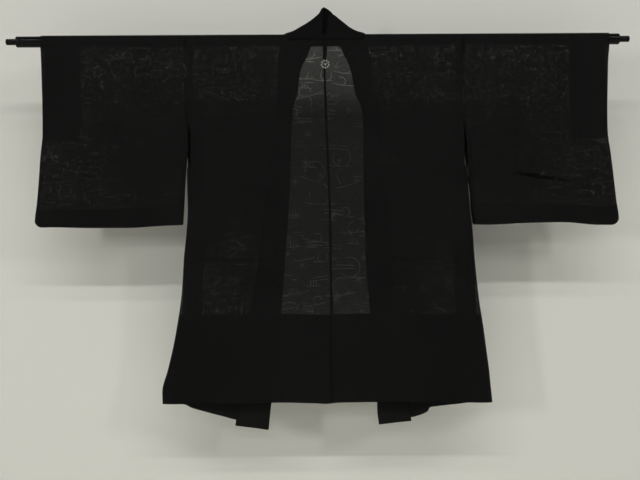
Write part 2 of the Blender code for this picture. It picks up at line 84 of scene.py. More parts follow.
# %% Node helpers
class Nodes:
    """Short words for building one material's node tree."""

    def __init__(self, name):
        self.material = bpy.data.materials.new(name)
        self.material.use_nodes = True
        self.tree = self.material.node_tree
        self.shader = self.tree.nodes["Principled BSDF"]

    def add(self, kind, **settings):
        """A new node with these settings."""
        node = self.tree.nodes.new(kind)
        for key, value in settings.items():
            setattr(node, key, value)
        return node

    def join(self, source, target):
        self.tree.links.new(source, target)

    def feed(self, socket, value):
        """Join a socket to another one's value, or give it a plain number."""
        if isinstance(value, bpy.types.NodeSocket):
            self.join(value, socket)
        else:
            socket.default_value = value

    def sum(self, operation, *values):
        """One step of arithmetic on numbers."""
        node = self.add("ShaderNodeMath", operation=operation)
        for socket, value in zip(node.inputs, values):
            self.feed(socket, value)
        return node.outputs[0]

    def vector(self, operation, *values, scale=None):
        """One step of arithmetic on vectors."""
        node = self.add("ShaderNodeVectorMath", operation=operation)
        for socket, value in zip(node.inputs, values):
            self.feed(socket, value)
        if scale is not None:
            self.feed(node.inputs["Scale"], scale)
        return node

    def split(self, vector):
        """The three parts of a vector or colour."""
        node = self.add("ShaderNodeSeparateXYZ")
        self.join(vector, node.inputs[0])
        return node.outputs

    def ramp(self, value, low, high, start=0.0, end=1.0):
        """Smooth step from start to end as the value goes from low to high."""
        node = self.add("ShaderNodeMapRange", interpolation_type="SMOOTHSTEP")
        for socket, given in zip(node.inputs, (value, low, high, start, end)):
            self.feed(socket, given)
        return node.outputs[0]

    def noise(self, vector, scale, detail=2.0, seed_shift=(0.0, 0.0, 0.0)):
        """Soft random patches, 0 to 1."""
        moved = self.vector("ADD", vector, seed_shift).outputs[0]
        node = self.add("ShaderNodeTexNoise", noise_dimensions="2D")
        self.join(moved, node.inputs["Vector"])
        node.inputs["Scale"].default_value = scale
        node.inputs["Detail"].default_value = detail
        return node.outputs[0]

    def cells(self, vector, scale, seed_shift=(0.0, 0.0, 0.0)):
        """Scattered places: the way from the nearest one, and three random numbers for it."""
        moved = self.vector("ADD", vector, seed_shift).outputs[0]
        node = self.add("ShaderNodeTexVoronoi", voronoi_dimensions="2D")
        self.join(moved, node.inputs["Vector"])
        node.inputs["Scale"].default_value = scale
        away = self.vector("SUBTRACT", moved, node.outputs["Position"]).outputs[0]
        return away, self.split(node.outputs["Color"])

    def tint(self, share, colour, darker, paler):
        """A colour that wavers between a darker and a paler shade of itself."""
        node = self.add("ShaderNodeMix", data_type="RGBA")
        self.feed(node.inputs["Factor"], share)
        node.inputs["A"].default_value = (*[darker * c for c in colour], 1.0)
        node.inputs["B"].default_value = (*[paler * c for c in colour], 1.0)
        return node.outputs["Result"]

    def bump(self, height, strength, distance):
        """Fine relief that the light catches, from a height."""
        node = self.add("ShaderNodeBump")
        node.inputs["Strength"].default_value = strength
        node.inputs["Distance"].default_value = distance
        self.join(height, node.inputs["Height"])
        self.join(node.outputs["Normal"], self.shader.inputs["Normal"])

    def set(self, **values):
        """Fixed numbers and colours, straight on the shader."""
        for name, value in values.items():
            self.shader.inputs[name.replace("_", " ").title()].default_value = value


print("node helpers:", ", ".join(name for name in vars(Nodes) if not name.startswith("_")))

# %% [markdown]
# ## Room
# The pieces that aren't the jacket: a pale wall a hand's length behind it and a pale
# floor.  The wall lets itself be looked through from its far side, and it casts no
# shadow, so that the jacket can be seen and lit from all round.  A curved backdrop
# would hide the corner between them, but a flat wall takes the shadow that gives sheer
# cloth its depth, as a room's wall does.

# %% Room
WALL_BEHIND = 0.200
WALL_SIZE = (4.4, 3.2)
FLOOR_DROP = 1.32
FLOOR_SIZE = (4.4, 4.0)
FLOOR_GLOW = 0.22
PALE = (0.745, 0.740, 0.680)


def mesh_from(sheet, name):
    """Turn a bmesh into a named mesh, and let the bmesh go."""
    mesh = bpy.data.meshes.new(name)
    sheet.to_mesh(mesh)
    sheet.free()
    return mesh


def pale_plane(name, size, place, turn, glow=0.0, from_behind=False):
    """A flat backdrop; from_behind lets it be looked through from its far side."""
    sheet = bmesh.new()
    bmesh.ops.create_grid(sheet, x_segments=1, y_segments=1, size=0.5)
    bmesh.ops.scale(sheet, vec=(*size, 1.0), verts=sheet.verts)
    plane = bpy.data.objects.new(name, mesh_from(sheet, name))
    plane.location = place
    plane.rotation_euler = turn
    scene.collection.objects.link(plane)
    make = Nodes(name)
    make.set(base_color=(*PALE, 1.0), roughness=0.9)
    make.set(emission_color=(*PALE, 1.0), emission_strength=glow)
    if from_behind:
        geometry = make.add("ShaderNodeNewGeometry")
        make.join(make.sum("SUBTRACT", 1.0, geometry.outputs["Backfacing"]), make.shader.inputs["Alpha"])
    plane.data.materials.append(make.material)
    return plane


wall_place = (0.0, WALL_BEHIND, -FLOOR_DROP + WALL_SIZE[1] / 2)
wall = pale_plane("wall", WALL_SIZE, wall_place, (math.pi / 2, 0.0, 0.0), from_behind=True)
wall.visible_shadow = False
floor_place = (0.0, WALL_BEHIND - FLOOR_SIZE[1] / 2, -FLOOR_DROP)
pale_plane("floor", FLOOR_SIZE, floor_place, (0.0, 0.0, 0.0), glow=FLOOR_GLOW)
print("wall", WALL_BEHIND, "m behind the rod, floor", FLOOR_DROP, "m below it")

# %% [markdown]
# ## Lamps
# Two long strips under the ceiling throw most of the light.  They are narrow, so the
# jacket's shadow on the wall has a crisp upper edge about 12 cm below the shoulders.
# Above that edge the wall is bright and the sheer cloth lights up; below it the cloth
# looks darker.  One large soft lamp would be simpler, and would blur that edge away.
# Three lower lamps, one ahead and one at each side, let some light in behind the
# cloth, and a faint fill and the bright floor lift the lower wall.  One lamp stands
# low on the far side and lights the fronts, for whoever walks round.

# %% Lamps
MIDDLE = (0.0, 0.0, -0.4)
LOW_MIDDLE = (0.0, 0.0, -0.6)
WIDE = 180.0
NARROW = 50.0
LAMPS = (
    ("strip_light", (0.0, -4.20, 2.58), MIDDLE, 5.4, 0.07, 76.0, WIDE),
    ("ceiling_strip", (0.0, -4.20, 3.35), MIDDLE, 5.4, 0.07, 35.0, WIDE),
    ("front_lamp", (0.0, -4.20, 0.60), MIDDLE, 0.8, 0.2, 7.0, WIDE),
    ("left_lamp", (-2.2, -3.0, 0.05), MIDDLE, 0.3, 0.5, 19.0, WIDE),
    ("right_lamp", (2.2, -3.0, 0.80), MIDDLE, 0.3, 0.5, 15.0, WIDE),
    ("low_fill", (0.0, -3.0, -1.1), LOW_MIDDLE, 3.0, 0.4, 1.2, WIDE),
    ("far_side_lamp", (0.9, 2.6, -1.0), MIDDLE, 1.0, 0.5, 20.0, NARROW),
)
ROOM_TINT = (1.0, 0.99, 0.97, 1.0)
ROOM_LIGHT = 0.12


def area_light(name, place, aim, width, height, watts, spread):
    data = bpy.data.lights.new(name, "AREA")
    data.shape = "RECTANGLE"
    data.size = width
    data.size_y = height
    data.energy = watts
    data.spread = math.radians(spread)
    lamp = bpy.data.objects.new(name, data)
    lamp.location = place
    lamp.rotation_euler = (Vector(aim) - Vector(place)).to_track_quat("-Z", "Y").to_euler()
    scene.collection.objects.link(lamp)


for lamp in LAMPS:
    area_light(*lamp)
world = bpy.data.worlds.new("soft_room")
world.use_nodes = True
world.node_tree.nodes["Background"].inputs["Color"].default_value = ROOM_TINT
world.node_tree.nodes["Background"].inputs["Strength"].default_value = ROOM_LIGHT
scene.world = world
print("lamps:", len(LAMPS))

# %% [markdown]
# ## Outlines
# A haori is cut from straight lengths of narrow cloth, so its shape comes from how it
# hangs.  Each outline is a short table: how far out from the middle an edge lies at a
# drop below the rod.  `curve` runs a smooth line through a table's points, for a whole
# grid of cloth at once.  Curve objects could hold these lines too, but a table can be
# asked for the place at any height, thousands at a time.

# %% Tables and curves
def table(columns, *rows):
    """Rows of numbers kept under the names of their columns."""
    values = np.array(rows, float)
    return {name: values[:, i] for i, name in enumerate(columns.split())}


def curve(xs, ys, at):
    """A soft line through the points, which never overshoots them."""
    xs, ys = np.asarray(xs, float), np.asarray(ys, float)
    at = np.clip(at, xs[0], xs[-1])
    i = np.clip(np.searchsorted(xs, at) - 1, 0, len(xs) - 2)
    slopes = np.diff(ys) / np.diff(xs)
    product = slopes[:-1] * slopes[1:]
    total = np.where(product > 0.0, slopes[:-1] + slopes[1:], 1.0)
    inner = np.where(product > 0.0, 2.0 * product / total, 0.0)
    tangents = np.concatenate(([slopes[0]], inner, [slopes[-1]]))
    span = xs[i + 1] - xs[i]
    t = (at - xs[i]) / span
    start = (1 + 2 * t) * (1 - t) ** 2 * ys[i] + t * (1 - t) ** 2 * span * tangents[i]
    end = t * t * (3 - 2 * t) * ys[i + 1] + t * t * (t - 1) * span * tangents[i + 1]
    return start + end


def along(rows, column, at):
    """A column of a table at a value of its first column."""
    return curve(next(iter(rows.values())), rows[column], at)


def smooth(value):
    """0 below 0, 1 above 1 and a soft step between."""
    value = np.clip(value, 0.0, 1.0)
    return value * value * (3.0 - 2.0 * value)


def mix(a, b, share):
    return a + (b - a) * share


SIDES = {"left": -1.0, "right": 1.0}
print("sides:", ", ".join(SIDES))

# %% [markdown]
# ### Side edges
# The back stops at its side seam.  The front's edge lies close behind it, except
# where the side is open under the arm, and the gusset's fold stands out from both
# toward the hem.

# %% Side edges
BACK_SIDE = table(
    "drop left right",
    (0.000, 0.3140, 0.3152),
    (0.165, 0.3138, 0.3152),
    (0.190, 0.3112, 0.3147),
    (0.205, 0.3052, 0.3164),
    (0.230, 0.3036, 0.3170),
    (0.262, 0.3035, 0.3173),
    (0.284, 0.3042, 0.3176),
    (0.291, 0.3104, 0.3194),
    (0.300, 0.3104, 0.3202),
    (0.338, 0.3100, 0.3238),
    (0.387, 0.3092, 0.3278),
    (0.432, 0.3120, 0.3322),
    (0.500, 0.3188, 0.3352),
    (0.620, 0.3245, 0.3425),
    (0.700, 0.3310, 0.3490),
    (0.780, 0.3384, 0.3565),
    (0.824, 0.3410, 0.3610),
)
FRONT_SIDE = table(
    "drop left right",
    (0.000, 0.3140, 0.3152),
    (0.190, 0.3138, 0.3156),
    (0.230, 0.3144, 0.3178),
    (0.280, 0.3144, 0.3184),
    (0.291, 0.3108, 0.3194),
    (0.300, 0.3104, 0.3202),
    (0.338, 0.3100, 0.3238),
    (0.387, 0.3092, 0.3278),
    (0.432, 0.3120, 0.3322),
    (0.500, 0.3188, 0.3352),
    (0.620, 0.3245, 0.3425),
    (0.700, 0.3310, 0.3490),
    (0.780, 0.3384, 0.3565),
    (0.824, 0.3410, 0.3610),
)
GUSSET_FOLD = table(
    "drop left right",
    (0.289, 0.3137, 0.3205),
    (0.310, 0.3122, 0.3240),
    (0.338, 0.3114, 0.3268),
    (0.387, 0.3106, 0.3308),
    (0.432, 0.3134, 0.3362),
    (0.500, 0.3205, 0.3411),
    (0.594, 0.3298, 0.3510),
    (0.656, 0.3399, 0.3605),
    (0.694, 0.3471, 0.3653),
    (0.750, 0.3605, 0.3726),
    (0.800, 0.3734, 0.3774),
    (0.824, 0.3728, 0.3799),
)
print("side edges at", len(BACK_SIDE["drop"]), "heights on the back")

# %% [markdown]
# ### Sleeve edges
# The outer edge runs nearly straight down and flares a little below the cuff.  The
# inner edge is free below the armhole seam, and the two layers part there, so each
# has a line of its own.

# %% Sleeve edges
SLEEVE_OUTER = table(
    "drop left right",
    (0.000, 0.6432, 0.6475),
    (0.060, 0.6415, 0.6440),
    (0.140, 0.6416, 0.6440),
    (0.210, 0.6424, 0.6454),
    (0.260, 0.6475, 0.6522),
    (0.320, 0.6520, 0.6592),
    (0.370, 0.6566, 0.6648),
    (0.405, 0.6612, 0.6700),
    (0.430, 0.6625, 0.6708),
)
SLEEVE_INNER_BACK = table(
    "drop left right",
    (0.000, 0.3143, 0.3155),
    (0.165, 0.3141, 0.3155),
    (0.190, 0.3116, 0.3153),
    (0.205, 0.3080, 0.3178),
    (0.245, 0.3086, 0.3230),
    (0.262, 0.3100, 0.3234),
    (0.290, 0.3130, 0.3238),
    (0.338, 0.3172, 0.3292),
    (0.365, 0.3212, 0.3322),
    (0.393, 0.3244, 0.3354),
    (0.425, 0.3272, 0.3396),
)
SLEEVE_INNER_FRONT = table(
    "drop left right",
    (0.000, 0.3143, 0.3155),
    (0.190, 0.3143, 0.3160),
    (0.205, 0.3146, 0.3164),
    (0.230, 0.3154, 0.3186),
    (0.250, 0.3164, 0.3208),
    (0.290, 0.3184, 0.3238),
    (0.316, 0.3190, 0.3270),
    (0.343, 0.3197, 0.3308),
    (0.388, 0.3218, 0.3334),
    (0.418, 0.3232, 0.3370),
    (0.425, 0.3236, 0.3380),
)
SLEEVE_BOTTOM = table(
    "out left right",
    (0.310, 0.4180, 0.4195),
    (0.375, 0.4205, 0.4215),
    (0.450, 0.4245, 0.4185),
    (0.540, 0.4245, 0.4166),
    (0.620, 0.4228, 0.4232),
    (0.670, 0.4240, 0.4238),
)
SLEEVE_INNER = {-1.0: SLEEVE_INNER_BACK, 1.0: SLEEVE_INNER_FRONT}
print("sleeves reach out to", *[SLEEVE_OUTER[side][0] for side in SIDES], "m")

# %% [markdown]
# ### Hems
# The back's hem is nearly level.  The fronts are cut longer, so their hems fall from
# the side toward the collar's tips.

# %% Hems
BACK_HEM = table(
    "out left right",
    (0.000, 0.8262, 0.8262),
    (0.030, 0.8240, 0.8235),
    (0.120, 0.8228, 0.8222),
    (0.250, 0.8240, 0.8228),
    (0.360, 0.8250, 0.8246),
)
FRONT_HEM = table(
    "out left right",
    (0.190, 0.8695, 0.8700),
    (0.2095, 0.8668, 0.8643),
    (0.235, 0.8590, 0.8502),
    (0.2390, 0.8578, 0.8416),
    (0.276, 0.8480, 0.8352),
    (0.308, 0.8388, 0.8318),
    (0.324, 0.8310, 0.8298),
    (0.370, 0.8262, 0.8276),
)
print("front tips hang", round(FRONT_HEM["left"][0] - BACK_HEM["left"][0], 3), "m lower than the back")

# %% [markdown]
# ### The collar's lines
# Down each front the collar has a seam with the front and an inner edge.  Round the
# neck it needs four lines, from the seam up to the edge, because it stands and rolls
# over.  Its crown has settled a little to one side, which the last table gives by
# height and half width.

# %% Collar lines
COLLAR_FRONT = {
    "left": table(
        "seam_drop seam_out edge_drop edge_out",
        (0.000, 0.0985, 0.0400, 0.0446),
        (0.023, 0.1042, 0.0590, 0.0546),
        (0.053, 0.1070, 0.0830, 0.0594),
        (0.093, 0.1080, 0.1170, 0.0638),
        (0.142, 0.1098, 0.1550, 0.0738),
        (0.205, 0.1160, 0.2090, 0.0777),
        (0.330, 0.1330, 0.3320, 0.0822),
        (0.505, 0.1562, 0.5080, 0.0945),
        (0.620, 0.1714, 0.6240, 0.1040),
        (0.748, 0.1898, 0.7550, 0.1190),
        (0.8805, 0.2085, 0.8912, 0.1334),
    ),
    "right": table(
        "seam_drop seam_out edge_drop edge_out",
        (0.000, 0.0985, 0.0400, 0.0546),
        (0.023, 0.1042, 0.0590, 0.0616),
        (0.053, 0.1080, 0.0830, 0.0670),
        (0.093, 0.1112, 0.1170, 0.0735),
        (0.142, 0.1150, 0.1550, 0.0890),
        (0.205, 0.1205, 0.2090, 0.0918),
        (0.330, 0.1333, 0.3320, 0.0924),
        (0.505, 0.1508, 0.5080, 0.0966),
        (0.620, 0.1632, 0.6240, 0.1058),
        (0.745, 0.1795, 0.7490, 0.1148),
        (0.8722, 0.1972, 0.8790, 0.1238),
    ),
}
NECK_SEAM = table(
    "place left right",
    (-1.0, 0.0830, 0.0905),
    (0.0, 0.0905, 0.0945),
    (1.0, 0.0985, 0.0985),
)
COLLAR_NECK = table(
    "out near_out near_depth near_height far_out far_depth far_height"
    " edge_out edge_depth edge_height",
    (0.000, 0.000, -0.0150, 0.026, 0.0000, -0.0112, 0.052, 0.0000, -0.0092, 0.0718),
    (0.006, 0.006, -0.0150, 0.026, 0.0050, -0.0148, 0.053, 0.0032, -0.0095, 0.0700),
    (0.016, 0.015, -0.0150, 0.026, 0.0108, -0.0145, 0.061, 0.0078, -0.0060, 0.0628),
    (0.034, 0.030, -0.0148, 0.025, 0.0190, -0.0120, 0.0745, 0.0108, 0.0010, 0.0440),
    (0.058, 0.051, -0.0142, 0.026, 0.0314, -0.0060, 0.0635, 0.0190, 0.0090, 0.0250),
    (0.0795, 0.071, -0.0120, 0.023, 0.0464, 0.0060, 0.041, 0.0268, 0.0158, 0.0080),
    (0.0870, 0.079, 0.0040, 0.024, 0.0560, 0.0215, 0.0145, 0.0335, 0.0172, -0.0130),
)
COLLAR_LEAN = table(
    "height half_width left middle right",
    (0.0180, 0.0750, 0.0000, 0.0000, 0.0000),
    (0.0245, 0.0650, 0.0004, 0.0018, -0.0008),
    (0.0290, 0.0574, 0.0020, 0.0024, 0.0000),
    (0.0336, 0.0506, 0.0034, 0.0025, 0.0016),
    (0.0380, 0.0435, 0.0042, 0.0025, 0.0036),
    (0.0426, 0.0362, 0.0044, 0.0025, 0.0056),
    (0.0470, 0.0297, 0.0043, 0.0025, 0.0070),
    (0.0516, 0.0226, 0.0036, 0.0025, 0.0088),
    (0.0560, 0.0160, 0.0024, 0.0025, 0.0101),
    (0.0607, 0.0108, 0.0018, 0.0025, 0.0106),
    (0.0675, 0.0066, 0.0020, 0.0025, 0.0064),
    (0.0760, 0.0050, 0.0024, 0.0025, 0.0030),
)
print("collar crown", COLLAR_NECK["far_height"].max(), "m above the rod's axis")

# %% [markdown]
# ## Broad folds
# Hanging cloth is never quite flat.  Broad soft folds swell below the rod and lean a
# little as they fall.  Each is a row of a table: where it is, how wide and deep, the
# drop at which it starts to show, and its lean.  No two are alike.  A cloth simulation
# could find such folds, but a jacket that hangs this flat and taut hardly moves, and
# folds that are placed can be put right one by one.

# %% Broad folds
FOLD_FULL_AT = 0.9
FOLD_SHOWS_FROM = 0.25
FOLDS = table(
    "centre width depth start lean",
    (-0.285, 0.030, 0.0030, 0.30, 0.05),
    (-0.205, 0.045, -0.0026, 0.45, -0.03),
    (-0.120, 0.035, 0.0034, 0.35, 0.04),
    (-0.030, 0.050, -0.0020, 0.50, 0.00),
    (0.060, 0.040, 0.0028, 0.40, -0.05),
    (0.150, 0.035, -0.0030, 0.40, 0.03),
    (0.235, 0.045, 0.0032, 0.30, 0.02),
    (0.310, 0.028, -0.0024, 0.45, 0.04),
)
SLEEVE_FOLDS = table(
    "centre width depth start lean",
    (-0.600, 0.030, 0.0040, 0.15, 0.06),
    (-0.500, 0.050, -0.0035, 0.10, 0.02),
    (-0.400, 0.040, 0.0030, 0.20, -0.04),
    (0.390, 0.040, -0.0034, 0.12, 0.03),
    (0.480, 0.045, 0.0042, 0.10, 0.05),
    (0.590, 0.035, -0.0038, 0.15, -0.06),
)


def fold_depth(folds, x, drop):
    """How far the broad folds push the cloth along Y."""
    depth = 0.0
    for centre, width, deep, start, lean in zip(*folds.values()):
        reach = (x - centre - lean * drop) / width
        grown = smooth((drop - FOLD_SHOWS_FROM * start) / max(0.05, FOLD_FULL_AT - start))
        depth = depth + deep * np.exp(-reach * reach) * grown
    return depth


print("broad folds:", len(FOLDS["centre"]), "on the body,", len(SLEEVE_FOLDS["centre"]), "on the sleeves")

# %% [markdown]
# ## Creases
# Sharper creases come from how a haori is stored: folded flat into a packet, so fine
# level lines are left across the body and slanting ones on the sleeves.  Each row
# gives a crease's two ends, its width and its depth.  A few short gathers stand where
# the left sleeve bunches at the end of the rod.  They could be a painted relief, but
# as real depth they throw small shadows of their own.

# %% Creases
CREASE_BOW = 0.0025
CREASE_FADE = 0.25
BACK_CREASES = table(
    "x drop x_end drop_end width depth",
    (-0.318, 0.496, -0.095, 0.500, 0.0024, 0.0036),
    (0.100, 0.500, 0.334, 0.496, 0.0024, 0.0032),
    (-0.200, 0.532, -0.092, 0.536, 0.0022, 0.0028),
    (-0.196, 0.543, -0.096, 0.546, 0.0022, 0.0026),
    (-0.300, 0.262, -0.120, 0.256, 0.0060, -0.0006),
    (0.130, 0.268, 0.300, 0.262, 0.0060, 0.0006),
    (-0.262, 0.700, -0.225, 0.560, 0.0090, -0.0008),
    (0.270, 0.640, 0.322, 0.790, 0.0090, 0.0010),
)
FRONT_CREASES = table(
    "x drop x_end drop_end width depth",
    (-0.308, 0.498, -0.150, 0.505, 0.0050, -0.0009),
    (0.160, 0.507, 0.325, 0.498, 0.0050, -0.0008),
    (-0.280, 0.255, -0.130, 0.262, 0.0060, 0.0007),
    (0.145, 0.250, 0.290, 0.259, 0.0055, -0.0007),
    (-0.240, 0.720, -0.285, 0.560, 0.0090, 0.0009),
    (0.225, 0.600, 0.262, 0.760, 0.0080, -0.0009),
)
SLEEVE_BACK_CREASES = table(
    "x drop x_end drop_end width depth",
    (0.436, 0.311, 0.540, 0.331, 0.0050, 0.0012),
    (-0.575, 0.330, -0.430, 0.322, 0.0060, 0.0008),
    (-0.600, 0.160, -0.450, 0.150, 0.0070, 0.0006),
    (0.360, 0.180, 0.470, 0.172, 0.0070, -0.0007),
    (-0.6405, 0.002, -0.6365, 0.052, 0.0013, 0.0022),
    (-0.6360, 0.004, -0.6290, 0.038, 0.0016, 0.0018),
    (-0.6310, 0.003, -0.6180, 0.026, 0.0018, 0.0014),
)
SLEEVE_FRONT_CREASES = table(
    "x drop x_end drop_end width depth",
    (0.452, 0.290, 0.560, 0.306, 0.0045, 0.0014),
    (-0.560, 0.312, -0.420, 0.325, 0.0050, -0.0010),
    (-0.470, 0.150, -0.360, 0.158, 0.0070, -0.0007),
    (0.380, 0.210, 0.500, 0.200, 0.0070, 0.0008),
)


def from_line(x0, z0, x1, z1, x, drop):
    """A place's way along a line, its way off the line, and the line's length."""
    length = math.hypot(x1 - x0, z1 - z0)
    run = ((x - x0) * (x1 - x0) + (drop - z0) * (z1 - z0)) / length
    off = ((x - x0) * (z1 - z0) - (drop - z0) * (x1 - x0)) / length
    return run, off, length


def crease_depth(creases, x, drop):
    """How far the creases push the cloth along Y, fading toward their ends."""
    depth = 0.0
    for x0, z0, x1, z1, width, deep in zip(*creases.values()):
        run, off, length = from_line(x0, z0, x1, z1, x, drop)
        bow = CREASE_BOW * np.sin(np.pi * np.clip(run / length, 0.0, 1.0))
        end = CREASE_FADE * length
        fade = smooth(run / end) * smooth((length - run) / end)
        depth = depth + deep * np.exp(-(((off + bow) / width) ** 2)) * fade
    return depth


ALL_CREASES = (BACK_CREASES, FRONT_CREASES, SLEEVE_BACK_CREASES, SLEEVE_FRONT_CREASES)
print("creases:", sum(len(creases["x"]) for creases in ALL_CREASES))

# %% [markdown]
# ## One deep tuck
# The right sleeve has a real fold across it, deeper than a crease: its upper lip
# swells forward and throws a shadow into the groove below.  It is drawn on the back
# layer alone.  A crease's formula is too soft for it, so it has one of its own, with a
# steep edge.

# %% Deep tuck
GROOVE_EDGE = 0.0011
LIP_ABOVE = 0.0045
LIP_WIDTH = 0.0060
SLEEVE_TUCKS = table(
    "x drop x_end drop_end lip width depth",
    (0.4195, 0.3026, 0.5640, 0.3252, 0.0040, 0.0066, 0.0100),
)


def tuck_depth(tucks, x, drop):
    """Folds whose upper lip swells forward over a deep groove."""
    depth = 0.0
    for x0, z0, x1, z1, lip, width, deep in zip(*tucks.values()):
        run, off, length = from_line(x0, z0, x1, z1, x, drop)
        part = np.clip(run / length, 0.0, 1.0)
        fade = smooth(4.0 * part) * smooth(4.0 * (1.0 - part))
        half = 0.5 * width * np.sin(math.pi * part) ** 0.6
        groove = smooth((half - np.abs(off)) / GROOVE_EDGE + 0.5)
        swell = np.exp(-(((off - half - LIP_ABOVE) / LIP_WIDTH) ** 2))
        depth = depth + fade * (deep * groove - lip * swell)
    return depth


print("deep tucks:", len(SLEEVE_TUCKS["x"]))

# %% [markdown]
# ## How the cloth hangs
# The back falls down the near side of the rod and the fronts down its far side, so
# both are nearly upright sheets, and one function gives the depth of each.  The centre
# seam runs down the back.  Each piece could be bent on its own, but on one shared
# surface the seams meet, and a strip can lie just one layer inside.

# %% Hanging surfaces
ROD_RADIUS = 0.0125
CLEAR_OF_ROD = 0.01305
DRAPE_RADIUS = CLEAR_OF_ROD + 0.0006
COLLAR_DRAPE_RADIUS = CLEAR_OF_ROD + 0.0008
NECK_CENTRE_X = -0.0025
HEM_CENTRE_X = 0.0130
SEAM_GAP = 0.0003
GAUZE = 0.0005
LAYER = 0.0009
BACK_DROP = BACK_SIDE["drop"][-1]
BACK_SETTLES = 0.0015
FRONT_SETTLES = 0.0030


def flutter(x, drop):
    """Small unevenness that any hanging gauze has."""
    wave = np.sin(31 * x + 9 * drop) * np.sin(17 * drop + 2.0) + np.sin(53 * x - 21 * drop + 1.0)
    return 0.00022 * wave * smooth(drop / 0.15)


def back_depth(x, drop):
    """Y of the back at a place across and a drop below the rod."""
    soft = fold_depth(FOLDS, x, drop) + crease_depth(BACK_CREASES, x, drop)
    return -DRAPE_RADIUS - BACK_SETTLES * smooth(drop / 0.5) + soft + flutter(x, drop)


def front_depth(x, drop):
    """Y of the fronts, whose folds are like the back's but moved aside and softer."""
    soft = 0.8 * fold_depth(FOLDS, x + 0.045, drop) + crease_depth(FRONT_CREASES, x, drop)
    return DRAPE_RADIUS + FRONT_SETTLES * smooth(drop / 0.6) + soft + flutter(x + 0.3, drop)


def centre_seam_x(drop):
    """The centre seam wanders a little to the right on its way down."""
    return mix(NECK_CENTRE_X, HEM_CENTRE_X, smooth(drop / 0.45) * 0.6 + 0.4 * drop / BACK_DROP)


print("cloth", GAUZE * 1000, "mm thick, layers", LAYER * 1000, "mm apart")

# %% [markdown]
# ## How the sleeves close
# The sleeves are bags: their two layers start a rod's width apart and close toward the
# sewn bottom and the sewn outer edge below the cuff.  The space between them is a
# formula of the place, so that the layers never pass through each other.

# %% Sleeve surfaces
CUFF_DEPTH = 0.227
SLEEVE_CORNER = 0.018
BAG_BOTTOM_HALF_GAP = 0.0025
SEWN_HALF_GAP = 0.0010
CLOSES_FROM = 0.50
CLOSES_OVER = 0.14


def sleeve_bottom(side, out):
    """Lower edge of a sleeve, rising round the outer corner."""
    drop = along(SLEEVE_BOTTOM, side, out)
    reach = (out - along(SLEEVE_OUTER, side, drop) + SLEEVE_CORNER) / SLEEVE_CORNER
    return drop - SLEEVE_CORNER * (1.0 - np.sqrt(1.0 - np.clip(reach, 0.0, 1.0) ** 2))


def sleeve_half_gap(side, out, drop):
    """Half the space between a sleeve's two layers."""
    level = np.clip(drop / along(SLEEVE_BOTTOM, side, out), 0.0, 1.0)
    inner = mix(BAG_BOTTOM_HALF_GAP, DRAPE_RADIUS, (1.0 - level ** 3) ** 0.8)
    closed = np.clip(drop / CUFF_DEPTH, 0.0, 1.0)
    outer = mix(SEWN_HALF_GAP, DRAPE_RADIUS, 1.0 - smooth(closed) ** 0.8)
    gap = mix(inner, outer, smooth((out - CLOSES_FROM) / CLOSES_OVER))
    from_edge = along(SLEEVE_OUTER, side, drop) - out
    sewn = smooth((drop - CUFF_DEPTH) / 0.006) * np.exp(-((from_edge / 0.004) ** 2))
    return mix(gap, 0.62 * GAUZE, sewn)


def sleeve_depth(side, out, drop, facing):
    """Y of a sleeve's back layer (facing -1) or front layer (facing 1)."""
    x = SIDES[side] * out
    behind = crease_depth(SLEEVE_BACK_CREASES, x, drop) + tuck_depth(SLEEVE_TUCKS, x, drop)
    creases = np.where(facing < 0, behind, crease_depth(SLEEVE_FRONT_CREASES, x, drop))
    soft = fold_depth(SLEEVE_FOLDS, x, drop) + creases + flutter(x, drop)
    return soft + facing * sleeve_half_gap(side, out, drop)


print("cuff opening", CUFF_DEPTH, "m deep, corner", SLEEVE_CORNER, "m round")

# %% [markdown]
# ## Lines for the figures
# The ground is woven open enough to see through, and the figures are woven more
# open still, so they shine as pale lines where light comes from behind.  They could
# be painted on an image; here they are drawn by nodes in the cloth's own measure, so
# they stay sharp at any distance.  First come the helpers for a single line.

# %% Figure lines
STROKE = 0.0008
FULL_TURN = 6.283


def stroke(make, distance, width=STROKE):
    """1 on a line where the distance is 0, fading to 0 beside it."""
    return make.ramp(make.sum("ABSOLUTE", distance), width * 0.7, width * 1.6, 1.0, 0.0)


def within(make, value, limit):
    """1 where the value is less than the limit away from 0."""
    return make.sum("LESS_THAN", make.sum("ABSOLUTE", value), limit)


def gentle_line(make, x, y, random, slope, bend):
    """How far a point lies above a slightly bowed line with a random slope."""
    tilt = make.sum("MULTIPLY_ADD", random, 2.0 * slope, -slope)
    bow = make.sum("MULTIPLY", make.sum("MULTIPLY", x, x), bend)
    return make.sum("SUBTRACT", make.sum("SUBTRACT", y, make.sum("MULTIPLY", x, tilt)), bow)


print("figure lines fade to nothing", round(1.6 * STROKE * 1000, 2), "mm from their middle")

# %% [markdown]
# ## The figures in the gauze
# Each kind is drawn round places scattered over the cloth: broken circles with a long
# branch below, sprigs of crossed strokes, short upright bars on a base line and pairs
# of level lines.  This is an old general style of figured gauze, made up afresh here
# from random numbers.  They could be drawn one by one, but a few rules repeated over
# random places look as varied.

